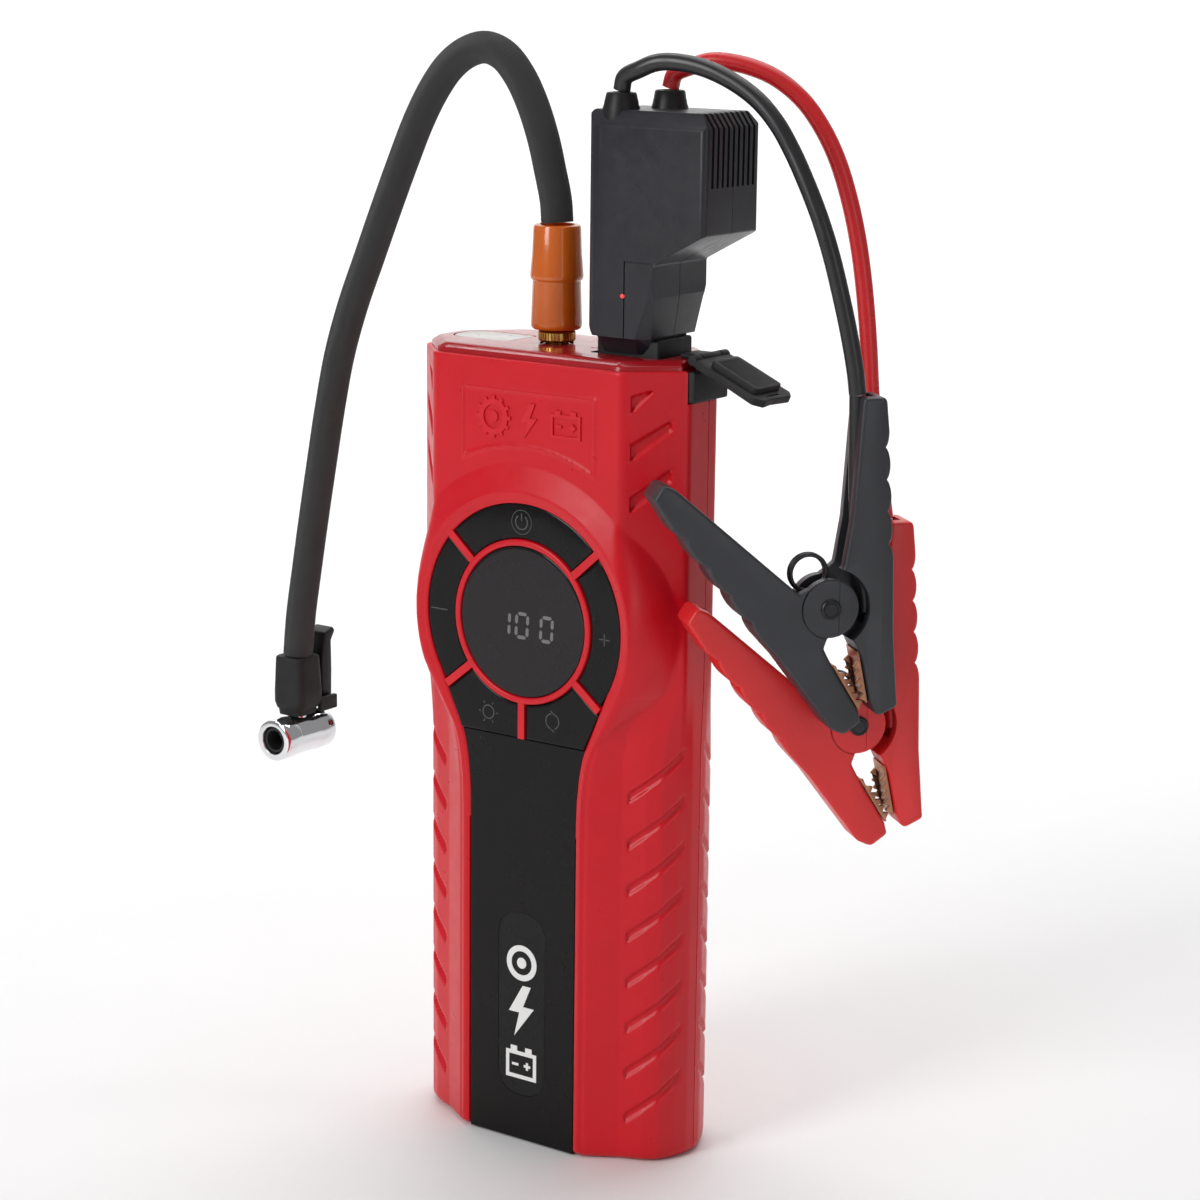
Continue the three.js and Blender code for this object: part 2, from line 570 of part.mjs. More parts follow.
const LEVER_Y = 10.8;
const LEVER_Z = 113;
function chuckLever() {
  const blade = alongX(shapeOf([[-1.6, -1.4, 1], [1.7, -1.4, 1], [2.2, 12, 1], [1.9, 24, 1], [4.4, 27, 1],
    [3, 28, 1], [-0.6, 26.5, 1], [-1.4, 12, 1]]), -3.6, 3.6);
  const pin = alongX(disc(0.8, 12), -3.9, 3.9);
  return join(blade, pin).translate(CHUCK_X, LEVER_Y, LEVER_Z);
}
part("chuck_lever", chuckLever(), blackPlastic);

// ---- Smart plug ----
const plugSide = [[PLUG.left + 3.2, PLUG.base], [35.4, PLUG.base], [PLUG.stem, 255], [PLUG.stem, 264.6],
  [PLUG.right - 0.3, 273.6], [PLUG.right, 302.4, 1], [51.4, PLUG.top], [15.6, PLUG.top], [PLUG.left, 303, 1],
  [PLUG.left, 247]];
const plugPlan = shapeOf([[PLUG.left, -PLUG.half, 5], [PLUG.right, -PLUG.half, 1.6],
  [PLUG.right, PLUG.half, 1.6], [PLUG.left, PLUG.half, 5]], 5);
// Seen from the right, the head's top edges are bevelled.
const plugEnd = shapeOf([[-PLUG.half, PLUG.base - 1], [PLUG.half, PLUG.base - 1], [PLUG.half, 302.4],
  [PLUG.half - 2.6, PLUG.top], [-PLUG.half + 2.6, PLUG.top], [-PLUG.half, 302]]);
const plugHollow = join(
  box(PLUG.left + 2, -PLUG.half + 2, PLUG.base + 2, PLUG.stem - 2, PLUG.half - 2, 300),
  box(PLUG.left + 2, -PLUG.half + 2, 276, PLUG.right - 2, PLUG.half - 2, 302),
);
const plugCase = cut(
  common(common(alongY(shapeOf(plugSide), -PLUG.half, PLUG.half), alongZ(plugPlan, PLUG.base, PLUG.top)),
    alongX(plugEnd, PLUG.left - 1, PLUG.right + 1)),
  plugHollow,
  box(17, -7, PLUG.base - 1, 34, 7, PLUG.base + 3),
);
part("plug_shell_front", common(plugCase, box(0, -20, 240, 60, 0, 310)), greyBlack);
part("plug_shell_rear", common(plugCase, box(0, GAP, 240, 60, 20, 310)), greyBlack);

function plugConnector() {
  const tongue = box(SOCKET.x0 + GAP, SOCKET.y0 + GAP, 222, SOCKET.x1 - GAP, SOCKET.y1 - GAP, PLUG.base - GAP);
  const root = box(17.4, -6.6, PLUG.base - 1, 33.6, 6.6, PLUG.base + 14);
  const contacts = [19, 28].map((x) => box(x, -3, 216, x + 4, 3, 223));
  return join(tongue, root, ...contacts);
}
part("plug_connector", plugConnector(), blackPlastic);

const BLACK_BOOT = [21.4, -7.2];
const RED_BOOT = [29.4, 5];
function boot([x, y], top) {
  return turned([[0, PLUG.top + GAP], [4.7, PLUG.top + GAP], [4.4, top], [0, top]], 24).translate(x, y, 0);
}
part("boot_black", boot(BLACK_BOOT, 310.8), blackPlastic);
part("boot_red", boot(RED_BOOT, 311.3), blackPlastic);

// ---- Leads ----
const blackRoute = [
  [21.5, -7.2, 311.6], [22.6, -7.4, 315], [27.6, -7.4, 317.4], [32.1, -6.7, 319.2], [36.8, -5.8, 319.7],
  [45.5, -4.5, 318.6], [54.5, -3.1, 315.3], [62.7, -2.1, 310.3], [68.8, -1.5, 304.2], [73.6, -1, 297],
  [78.4, -1, 288.6], [82.8, -0.9, 279.6], [86.4, -0.5, 270], [89.3, 0.2, 259.6], [91.8, 1.2, 248.6],
  [93.5, 2.2, 238.6], [94.1, 2.8, 232.4],
];
part("black_cable", tube(blackRoute, CABLE_RADIUS, 8, 42), blackPlastic);

const redRoute = [
  [29.5, 5, 312.1], [30.8, 5.2, 315.8], [36.2, 6.2, 318.2], [40.8, 7.6, 319.6], [45.4, 9, 319.6],
  [52.4, 11.2, 318.2], [59.4, 13.4, 315.2], [66.6, 15.6, 309.4], [72.2, 17.2, 301.8], [76.4, 18.4, 293.4],
  [80, 19.4, 282.6], [82.8, 20.2, 270.6], [84.8, 20.8, 257.6], [86.2, 21.2, 244.6], [87.2, 21.5, 231.6],
  [88.2, 21.9, 219], [89.8, 22.5, 207], [91.4, 23.1, 199], [92, 23.4, 194.7],
];
part("red_cable", tube(redRoute, CABLE_RADIUS, 8, 50), cableRed);

// ---- Clamps. In a clamp's own frame X runs across it, Z up and the pivot pin lies along Y. ----
const HUB_R = 8.2;
const HUB_CLEAR = 11.4;
const CHANNEL_HALF = 2.6; // the handles are channels, open towards each other
const fixedOutline = [
  [7.8, CLAMP_TOP, 1.4], [14.6, CLAMP_TOP, 1.6], [15.4, 46, 2], [14.9, 41, 2], [16.4, 35, 2], [15.8, 29.5, 2],
  [17, 24, 2], [16.4, 19, 2], [17.6, 12, 2], [18.6, -8], [20.4, -28.6, 1], [14.6, -31.4, 1.4], [12.4, -27],
  [9.9, -15], [7.4, -9.6, 1], [3, -7.6], [-3, -6], [-6, 0], [-2, 7], [3.6, 11.4], [5.6, 24],
];
const movingOutline = [
  [-50.8, 32, 1.4], [-48, 36.2, 1.6], [-44.4, 34.6], [-9, 4.4], [-4, 6.5], [3, 6.2], [6, 1], [4.6, -5.4],
  [-0.6, -8.4, 1], [-1.6, -11.2, 1], [2.4, -18.8], [9, -29.4, 1], [9.8, -32.6, 1.2], [5, -36, 2], [1, -34.2, 2],
  [-14, -14.2], [-23.4, -2.6, 2], [-26.4, 2.6, 2], [-32.4, 9.2, 2], [-35.2, 12.2, 2], [-41.4, 19.4, 2],
  [-44.4, 23, 2],
];
const fixedChannel = [[0, 64], [11.6, 64], [12, 46], [12.8, 28], [14, 12], [12, -5], [-9, -7], [-9, 9], [3, 20]];
const movingChannel = [[-46.6, 32.6], [-44, 40], [-8, 14], [9, 13], [12, -5], [-4, -6.5], [-20, -0.8],
  [-31, 12.6], [-41, 24.6]];

// The channel is cut along the middle; half of the thickness goes round the pivot, where the arms lap.
function clampArm(outline, channel, lapY0, lapY1) {
  const body = alongY(shapeOf(outline, 3), -CLAMP_HALF, CLAMP_HALF);
  const hub = alongY(disc(HUB_R, 28), -CLAMP_HALF, CLAMP_HALF);
  const clearance = alongY(disc(HUB_CLEAR, 28), lapY0, lapY1);
  const bore = alongY(disc(2.3, 16), -10, 10);
  return cut(join(body, hub), clearance, bore, alongY(shapeOf(channel), -CHANNEL_HALF, CHANNEL_HALF));
}

// A toothed strip from one point towards another, its teeth on the left of that direction.
function jawStrip(from, to, teeth) {
  const along = new THREE.Vector2(to[0] - from[0], to[1] - from[1]);
  const length = along.length();
  const points = [[0, 0], [length, 0], [length, 0.9]];
  for (let i = teeth - 1; i >= 0; i--) {
    points.push([(length * (i + 0.5)) / teeth, 1.9]);
    points.push([(length * i) / teeth, 0.9]);
  }
  return alongY(new THREE.Shape(points.map((p) => new THREE.Vector2(...p))), -4.5, 4.5)
    .translate(0, 0, GAP).rotateY(-along.angle()).translate(from[0], 0, from[1]);
}

function rivet() {
  const heads = [[-CLAMP_HALF - 0.9, -CLAMP_HALF - GAP], [CLAMP_HALF + GAP, CLAMP_HALF + 0.9]]
    .map(([y0, y1]) => alongY(disc(2.8, 20), y0, y1));
  return join(alongY(disc(2, 16), -CLAMP_HALF - 0.5, CLAMP_HALF + 0.5), ...heads);
}

// The coil sits round the rivet inside the channels, and one turn stands out between the handles.
function clampSpring() {
  const coil = alongY(ring(5.4, 2.6, 20), -2.1, 2.1);
  const loop = alongY(ring(5.8, 4.5, 24), -0.9, 0.9).translate(-5, 0, 9.3);
  return join(coil, loop);
}

function clamp(prefix, pivot, material) {
  const frame = new THREE.Group();
  frame.position.copy(pivot);
  frame.rotation.z = CLAMP_YAW;
  pack.add(frame);
  const fixedArm = clampArm(fixedOutline, fixedChannel, -CLAMP_HALF - 1, 0.25);
  const movingArm = clampArm(movingOutline, movingChannel, -0.25, CLAMP_HALF + 1);
  part(`${prefix}_clamp_fixed_arm`, fixedArm, material, frame);
  part(`${prefix}_clamp_moving_arm`, movingArm, material, frame);
  part(`${prefix}_clamp_fixed_jaw`, jawStrip([12.2, -26.6], [9.9, -15.4], 5), copper, frame);
  part(`${prefix}_clamp_moving_jaw`, jawStrip([2.6, -19], [8.8, -29], 5), copper, frame);
  part(`${prefix}_clamp_rivet`, rivet(), steel, frame);
  part(`${prefix}_clamp_spring`, clampSpring(), steel, frame);
}
clamp("black", BLACK_PIVOT, greyBlack);
clamp("red", RED_PIVOT, clampRed);

export default pack;
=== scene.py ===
"""Looks for the jump starter pack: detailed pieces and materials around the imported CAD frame.
Lengths are in millimetres here, and become metres when a mesh or curve is made."""
import math

import bmesh
import bpy
import numpy as np
from mathutils import Matrix, Vector


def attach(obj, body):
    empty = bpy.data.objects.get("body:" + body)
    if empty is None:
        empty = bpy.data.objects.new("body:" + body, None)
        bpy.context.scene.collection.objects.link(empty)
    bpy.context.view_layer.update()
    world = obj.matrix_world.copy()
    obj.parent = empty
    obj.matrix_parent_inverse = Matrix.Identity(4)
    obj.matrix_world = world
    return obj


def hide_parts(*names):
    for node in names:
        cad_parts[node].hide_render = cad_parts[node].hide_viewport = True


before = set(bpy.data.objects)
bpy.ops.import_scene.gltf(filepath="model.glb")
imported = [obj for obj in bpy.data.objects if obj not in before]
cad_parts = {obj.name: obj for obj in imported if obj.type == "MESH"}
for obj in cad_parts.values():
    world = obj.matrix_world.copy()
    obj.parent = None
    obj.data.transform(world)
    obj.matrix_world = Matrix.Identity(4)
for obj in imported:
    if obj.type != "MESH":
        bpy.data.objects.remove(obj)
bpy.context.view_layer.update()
MM = 0.001

# ---- Sizes shared with the CAD ----
RIM_Z = 235.3
DIAL_Z = 159.8
OPENING_R = 34.9
NUT_X = -5.4
CLAMP_YAW = math.radians(50)
BLACK_PIVOT = (89, -3.3, 173.9)
RED_PIVOT = (86.9, 17.3, 136.2)
CHUCK_X, CHUCK_Z = -106.4, 104
HOSE_D, CABLE_D = 9.4, 4.9
FLAP_PIVOT, FLAP_TILT = (47.4, 0, 238.4), 24
PLUG_HALF = 13.6
CLAMP_HALF, PIN_BORE, HUB_R, LAP_R = 6, 2.3, 8.2, 11.4


def smooth(low, high, x):
    t = np.clip((np.asarray(x, float) - low) / (high - low), 0, 1)
    return t * t * (3 - 2 * t)


def lerp(a, b, t):
    return a + (b - a) * t


def add_object(name, data):
    made = bpy.data.objects.new(name, data)
    bpy.context.scene.collection.objects.link(made)
    return made


# ---- Camera ----
def place_camera():
    azimuth, elevation, roll = (math.radians(a) for a in (35.334, 12.643, 0.662))
    back = Vector((math.sin(azimuth) * math.cos(elevation), -math.cos(azimuth) * math.cos(elevation),
                   math.sin(elevation)))
    right = (-back).cross(Vector((0, 0, 1))).normalized()
    up = right.cross(-back)
    turned_right = right * math.cos(roll) + up * math.sin(roll)
    turned_up = up * math.cos(roll) - right * math.sin(roll)
    data = bpy.data.cameras.new("camera")
    data.lens, data.sensor_width = 89.32, 36
    data.clip_start, data.clip_end = 0.05, 20
    camera = add_object("camera", data)
    place = Matrix((turned_right, turned_up, back)).transposed().to_4x4()
    place.translation = (Vector((10.956, 0, 163.794)) + back * 869.703) * MM
    camera.matrix_world = place
    bpy.context.scene.camera = camera


place_camera()


# ---- Materials ----
def node(tree, kind, **inputs):
    made = tree.nodes.new(kind)
    for key, value in inputs.items():
        made.inputs[key.replace("_", " ")].default_value = value
    return made


def material(name, colour, rough, metal=0.0, vary=0.06, blotch=45, rough_vary=0.06, grain=0.0,
             grain_scale=1800,
             grain_depth=0.00004, wear=0.0, coat=0.0, specular=0.5, sheen=0.0, scratches=0.0,
             subsurface=0.0):
    made = bpy.data.materials.new(name)
    made.use_nodes = True
    made.diffuse_color = (*colour, 1)
    tree = made.node_tree
    shader = tree.nodes["Principled BSDF"]
    for socket, value in (("Metallic", metal), ("Coat Weight", coat), ("Coat Roughness", 0.05),
                          ("Specular IOR Level", specular), ("Sheen Weight", sheen),
                          ("Subsurface Weight", subsurface)):
        shader.inputs[socket].default_value = value
    if subsurface:
        shader.inputs["Subsurface Radius"].default_value = (0.004, 0.0015, 0.0005)
        shader.inputs["Subsurface Scale"].default_value = 1.0
    place = tree.nodes.new("ShaderNodeTexCoord")
    link = tree.links.new
    large = node(tree, "ShaderNodeTexNoise", Scale=blotch, Detail=4.0, Roughness=0.6)
    link(place.outputs["Object"], large.inputs["Vector"])
    tint = tree.nodes.new("ShaderNodeValToRGB")
    tint.color_ramp.elements[0].position, tint.color_ramp.elements[1].position = 0.3, 0.7
    tint.color_ramp.elements[0].color = (*[c * (1 - vary) for c in colour], 1)
    tint.color_ramp.elements[1].color = (*[min(1, c * (1 + vary) + vary * 0.01) for c in colour], 1)
    link(large.outputs["Fac"], tint.inputs["Fac"])
    colour_out = tint.outputs["Color"]
    if wear:
        geometry = tree.nodes.new("ShaderNodeNewGeometry")
        edge = node(tree, "ShaderNodeMapRange", From_Min=0.52, From_Max=0.6, To_Min=0.0, To_Max=wear)
        link(geometry.outputs["Pointiness"], edge.inputs["Value"])
        mix = tree.nodes.new("ShaderNodeMix")
        mix.data_type = "RGBA"
        mix.inputs[7].default_value = (*[min(1, c * 1.5 + 0.05) for c in colour], 1)
        link(edge.outputs["Result"], mix.inputs[0])
        link(colour_out, mix.inputs[6])
        colour_out = mix.outputs[2]
    link(colour_out, shader.inputs["Base Color"])
    if sheen:
        shader.inputs["Sheen Roughness"].default_value = 0.4
    fine = node(tree, "ShaderNodeTexNoise", Scale=grain_scale, Detail=3.0, Roughness=0.55)
    link(place.outputs["Object"], fine.inputs["Vector"])
    middle = node(tree, "ShaderNodeTexNoise", Scale=blotch * 5, Detail=5.0, Roughness=0.65)
    link(place.outputs["Object"], middle.inputs["Vector"])
    span = node(tree, "ShaderNodeMapRange", From_Min=0.3, From_Max=0.7, To_Min=max(0.02, rough - rough_vary),
                To_Max=min(1, rough + rough_vary))
    link(middle.outputs["Fac"], span.inputs["Value"])
    link(span.outputs["Result"], shader.inputs["Roughness"])
    height = fine.outputs["Fac"]
    if scratches:
        stretch = node(tree, "ShaderNodeMapping", Scale=(1.0, 1.0, 14.0))
        link(place.outputs["Object"], stretch.inputs["Vector"])
        lines = node(tree, "ShaderNodeTexNoise", Scale=400.0, Detail=2.0)
        link(stretch.outputs["Vector"], lines.inputs["Vector"])
        both = node(tree, "ShaderNodeMath")
        both.operation = "MULTIPLY_ADD"
        both.inputs[1].default_value = scratches
        link(lines.outputs["Fac"], both.inputs[0])
        link(height, both.inputs[2])
        height = both.outputs["Value"]
    if grain:
        bump = node(tree, "ShaderNodeBump", Strength=grain, Distance=grain_depth)
        link(height, bump.inputs["Height"])
        link(bump.outputs["Normal"], shader.inputs["Normal"])
    return made


RED = material("red_satin", (0.60, 0.003, 0.012), 0.33, vary=0.05, grain=0.2, grain_scale=2600, wear=0.1,
               specular=0.36)
CAP = material("red_gloss", (0.36, 0.008, 0.014), 0.16, vary=0.06, grain=0.04, wear=0.08, specular=0.4)
GLOSS = material("black_gloss", (0.006, 0.005, 0.005), 0.13, vary=0.1, rough_vary=0.03, grain=0.03,
                 specular=0.18)
GLASS = material("display_glass", (0.010, 0.007, 0.009), 0.07, vary=0.12, rough_vary=0.02, grain=0.02,
                 specular=0.3)
SATIN = material("black_satin", (0.008, 0.008, 0.009), 0.42, vary=0.15, grain=0.3, grain_scale=1900,
                 wear=0.06,
                 specular=0.3)
CHARCOAL = material("charcoal_plastic", (0.013, 0.013, 0.018), 0.34, vary=0.14, grain=0.55, grain_scale=1700,
                    wear=0.12, specular=0.4)
CLAMP_BLACK = material("charcoal_clamp", (0.024, 0.025, 0.031), 0.4, vary=0.14, grain=0.6, grain_scale=1500,
                       wear=0.14)
CLAMP_RED = material("red_clamp", (0.66, 0.016, 0.018), 0.38, vary=0.06, grain=0.5, grain_scale=1500,
                     wear=0.16)
RUBBER = material("black_rubber", (0.012, 0.012, 0.012), 0.62, vary=0.2, grain=0.5, grain_scale=1300,
                  specular=0.35,
                  wear=0.1)
LENS = material("frosted_lens", (0.52, 0.50, 0.47), 0.3, vary=0.05, grain=0.4, grain_scale=900,
                subsurface=0.1,
                coat=0.3)
CHROME = material("chrome", (0.78, 0.78, 0.80), 0.09, metal=1, vary=0.03, rough_vary=0.04, grain=0.03)
STEEL = material("brushed_steel", (0.45, 0.45, 0.46), 0.33, metal=1, vary=0.08, grain=0.2, scratches=1.2)
DARK_STEEL = material("blackened_steel", (0.035, 0.035, 0.038), 0.3, metal=0.8, vary=0.2, grain=0.2)
BRASS = material("brass", (0.62, 0.40, 0.12), 0.24, metal=1, vary=0.12, grain=0.12, wear=0.25)
COPPER = material("copper_plate", (0.36, 0.17, 0.10), 0.34, metal=1, vary=0.18, grain=0.3, grain_scale=900,
                  wear=0.3)
SLEEVE = material("orange_sleeve", (0.60, 0.125, 0.008), 0.2, vary=0.1, rough_vary=0.05, grain=0.05,
                  subsurface=0.35,
                  coat=0.35)
CABLE_BLACK = material("cable_black", (0.014, 0.014, 0.016), 0.32, vary=0.15, grain=0.12, grain_scale=900)
CABLE_RED = material("cable_red", (0.60, 0.012, 0.016), 0.3, vary=0.07, grain=0.12, grain_scale=900)
WHITE = material("white_print", (0.80, 0.80, 0.79), 0.4, vary=0.03, grain=0.1)
GREY_PRINT = material("grey_print", (0.055, 0.055, 0.06), 0.25, vary=0.1, grain=0.05)
DIGIT = material("display_digit", (0.16, 0.15, 0.155), 0.35, vary=0.1, grain=0.05)
BOARD = material("circuit_board", (0.01, 0.10, 0.035), 0.4, vary=0.3, blotch=160, grain=0.4, grain_scale=700)
CELL = material("battery_wrap", (0.03, 0.09, 0.26), 0.34, vary=0.12, blotch=70, grain=0.3, grain_scale=250,
                grain_depth=0.0002)
LAMP = material("red_lamp", (0.8, 0.02, 0.02), 0.2, vary=0.02)
LAMP_DULL = material("red_ball", (0.22, 0.01, 0.02), 0.25, metal=0.5, vary=0.2)
LAMP.node_tree.nodes["Principled BSDF"].inputs["Emission Color"].default_value = (1, 0.05, 0.04, 1)
LAMP.node_tree.nodes["Principled BSDF"].inputs["Emission Strength"].default_value = 1.0


def braid_material():
    """Woven sleeve: the strands' lay follows the hose through its own coordinates."""
    made = material("hose_braid", (0.013, 0.013, 0.014), 0.62, vary=0.25, blotch=300, grain=0.8,
                    grain_scale=2600,
                    sheen=0.25, specular=0.3)
    tree = made.node_tree
    shader = tree.nodes["Principled BSDF"]
    lay = tree.nodes.new("ShaderNodeUVMap")
    lay.uv_map = "Lay"
    heights = []
    for turn in (1, -1):
        mapping = node(tree, "ShaderNodeMapping", Scale=(1.0, 1.0, 1.0))
        mapping.inputs["Rotation"].default_value = (0, 0, turn * math.radians(45))
        wave = node(tree, "ShaderNodeTexWave", Scale=2.6, Distortion=0.0)
        tree.links.new(lay.outputs["UV"], mapping.inputs["Vector"])
        tree.links.new(mapping.outputs["Vector"], wave.inputs["Vector"])
        heights.append(wave.outputs["Fac"])
    most = node(tree, "ShaderNodeMath")
    most.operation = "MAXIMUM"
    tree.links.new(heights[0], most.inputs[0])
    tree.links.new(heights[1], most.inputs[1])
    bump = node(tree, "ShaderNodeBump", Strength=1.0, Distance=0.0004)
    old = shader.inputs["Normal"].links[0].from_node
    tree.links.new(most.outputs["Value"], bump.inputs["Height"])
    tree.links.new(old.outputs["Normal"], bump.inputs["Normal"])
    tree.links.new(bump.outputs["Normal"], shader.inputs["Normal"])
    return made


BRAID = braid_material()


# ---- Mesh helpers ----
def mesh_object(name, points, faces, matrix=None):
    mesh = bpy.data.meshes.new(name)
    points = np.asarray(points, float).reshape(-1, 3)
    mesh.from_pydata([tuple(p) for p in points * MM], [], [tuple(f) for f in faces])
    tool = bmesh.new()
    tool.from_mesh(mesh)
    if matrix is not None:
        bmesh.ops.transform(tool, matrix=matrix, verts=tool.verts)
    bmesh.ops.recalc_face_normals(tool, faces=tool.faces)
    tool.to_mesh(mesh)
    tool.free()
    return add_object(name, mesh)


def rounded(corners, steps=6):
    """A closed outline of [x, y, radius] corners with its corners turned into arcs."""
    out = []
    count = len(corners)
    for i, corner in enumerate(corners):
        radius = corner[2] if len(corner) > 2 else 0
        here = np.array(corner[:2], float)
        if not radius:
            out.append(here)
            continue
        before = np.array(corners[i - 1][:2], float) - here
        after = np.array(corners[(i + 1) % count][:2], float) - here
        a, b = before / np.linalg.norm(before), after / np.linalg.norm(after)
        half = math.acos(np.clip(a @ b, -1, 1)) / 2
        reach = min(radius / math.tan(half), np.linalg.norm(before) * 0.49, np.linalg.norm(after) * 0.49)
        for k in range(steps + 1):
            t = k / steps
            start, end = here + a * reach, here + b * reach
            out.append((1 - t) ** 2 * start + 2 * t * (1 - t) * here + t * t * end)
    return np.array(out)


def inset(outline, distance):
    """The outline moved inwards by distance, corner by corner."""
    if abs(distance) < 1e-9:
        return np.array(outline, float)
    p = np.array(outline, float)
    ahead, behind = np.roll(p, -1, 0) - p, p - np.roll(p, 1, 0)
    ahead /= np.maximum(np.linalg.norm(ahead, axis=1), 1e-9)[:, None]
    behind /= np.maximum(np.linalg.norm(behind, axis=1), 1e-9)[:, None]
    area = np.sum(p[:, 0] * np.roll(p[:, 1], -1) - np.roll(p[:, 0], -1) * p[:, 1])
    turn = 1 if area > 0 else -1
    n1 = np.stack([-ahead[:, 1], ahead[:, 0]], 1) * turn
    n2 = np.stack([-behind[:, 1], behind[:, 0]], 1) * turn
    mid = n1 + n2
    mid /= np.maximum(np.linalg.norm(mid, axis=1), 1e-9)[:, None]
    cosine = np.maximum(np.sum(mid * n1, axis=1), 0.5)
    return p + mid * (distance / cosine)[:, None]


def between(start, end):
    """Two points, and the unit vectors along the way between them and across it to the left."""
    a, b = np.array(start, float), np.array(end, float)
    along = (b - a) / np.linalg.norm(b - a)
    return a, b, along, np.array([-along[1], along[0]])


def loft_faces(rings, sides):
    """Faces between neighbouring rings of points, then a cap on the first ring and on the last."""
    faces = [(i * sides + j, i * sides + (j + 1) % sides, (i + 1) * sides + (j + 1) % sides,
              (i + 1) * sides + j)
             for i in range(rings - 1) for j in range(sides)]
    return faces + [tuple(range(sides))[::-1], tuple(range((rings - 1) * sides, rings * sides))]


AXES = {"z": (0, 1, 2), "y": (0, 2, 1), "x": (1, 2, 0)}


def stack(name, outline, profile, axis="z"):
    """A closed solid over an outline: profile is [(inset, height)] from one end cap to the other."""
    a, b, h = AXES[axis]
    points = []
    for distance, height in profile:
        layer = np.zeros((len(outline), 3))
        moved = inset(outline, distance)
        layer[:, a], layer[:, b], layer[:, h] = moved[:, 0], moved[:, 1], height
        points.append(layer)
    return mesh_object(name, np.concatenate(points), loft_faces(len(profile), len(outline)))


def slab(name, outline, low, high, edge=0.0, axis="z", both=True):
    """A plate with rounded edges of about the given radius."""
    if not edge:
        return stack(name, outline, [(0, low), (0, high)], axis)
    up = [(0, high - edge), (edge * 0.13, high - edge * 0.5), (edge * 0.5, high - edge * 0.13), (edge, high)]
    down = [(edge, low), (edge * 0.5, low + edge * 0.13), (edge * 0.13, low + edge * 0.5), (0, low + edge)]
    return stack(name, outline, (down if both else [(0, low)]) + up, axis)


def lathe(name, profile, segments=64, centre=(0, 0, 0), axis="z", matrix=None):
    """A round solid: profile is [radius, height], closed on itself or from axis to axis."""
    a, b, h = AXES[axis]
    points, faces = [], []
    closed = profile[0][0] > 1e-6
    for k in range(segments):
        angle = 2 * math.pi * k / segments
        for radius, height in profile:
            p = [0.0, 0.0, 0.0]
            p[a], p[b], p[h] = radius * math.cos(angle), radius * math.sin(angle), height
            points.append(np.array(p) + centre)
    count = len(profile)
    for k in range(segments):
        n = (k + 1) % segments
        for i in range(count if closed else count - 1):
            j = (i + 1) % count
            faces.append([k * count + i, n * count + i, n * count + j, k * count + j])
    made = mesh_object(name, points, faces, matrix)
    tool = bmesh.new()
    tool.from_mesh(made.data)
    bmesh.ops.remove_doubles(tool, verts=tool.verts, dist=1e-7)
    bmesh.ops.dissolve_degenerate(tool, edges=tool.edges, dist=1e-7)
    bmesh.ops.recalc_face_normals(tool, faces=tool.faces)
    tool.to_mesh(made.data)
    tool.free()
    return made


def cuboid(name, low, high, edge=0.0):
    outline = np.array([[low[0], low[1]], [high[0], low[1]], [high[0], high[1]], [low[0], high[1]]])
    if edge:
        outline = rounded([[x, y, edge] for x, y in outline], 4)
    return slab(name, outline, low[2], high[2], edge)


def applied(made):
    """The object with its modifiers made part of its mesh."""
    bpy.context.view_layer.update()
    result = bpy.data.meshes.new_from_object(made.evaluated_get(bpy.context.evaluated_depsgraph_get()))
    made.modifiers.clear()
    made.data = result
    return made


def boolean(target, tools, operation):
    for tool in tools:
        cutter = target.modifiers.new("cut", "BOOLEAN")
        cutter.operation, cutter.object, cutter.solver = operation, tool, "MANIFOLD"
    applied(target)
    for tool in tools:
        bpy.data.objects.remove(tool)
    return target


def cut(target, *tools):
    return boolean(target, tools, "DIFFERENCE")


def union(target, *tools):
    return boolean(target, tools, "UNION")


def together(target, *others):
    """Joins separate closed pieces into one object, without a boolean."""
    tool = bmesh.new()
    for other in (target, *others):
        tool.from_mesh(other.data)
    tool.to_mesh(target.data)
    tool.free()
    for other in others:
        bpy.data.objects.remove(other)
    return target


def piece(made, body, look, nodes=(), angle=32):
    made.data.materials.clear()
    made.data.materials.append(look)
    if made.type == "MESH":
        made.data.polygons.foreach_set("use_smooth", [True] * len(made.data.polygons))
        made.data.set_sharp_from_angle(angle=math.radians(angle))
    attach(made, body)
    if nodes:
        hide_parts(*nodes)
    return made


def refinish(name, look):
    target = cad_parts[name]
    target.data.materials.clear()
    target.data.materials.append(look)


def bevelled(made, width, segments=3, angle=30):
    """Rounds the sharp edges of a finished mesh."""
    soft = made.modifiers.new("soft", "BEVEL")
    soft.width, soft.segments = width * MM, segments
    soft.limit_method, soft.angle_limit = "ANGLE", math.radians(angle)
    soft.use_clamp_overlap = True
    return applied(made)


def circle(radius, segments=48, x=0.0, y=0.0):
    angles = np.arange(segments) * 2 * math.pi / segments
    return np.stack([x + radius * np.cos(angles), y + radius * np.sin(angles)], 1)


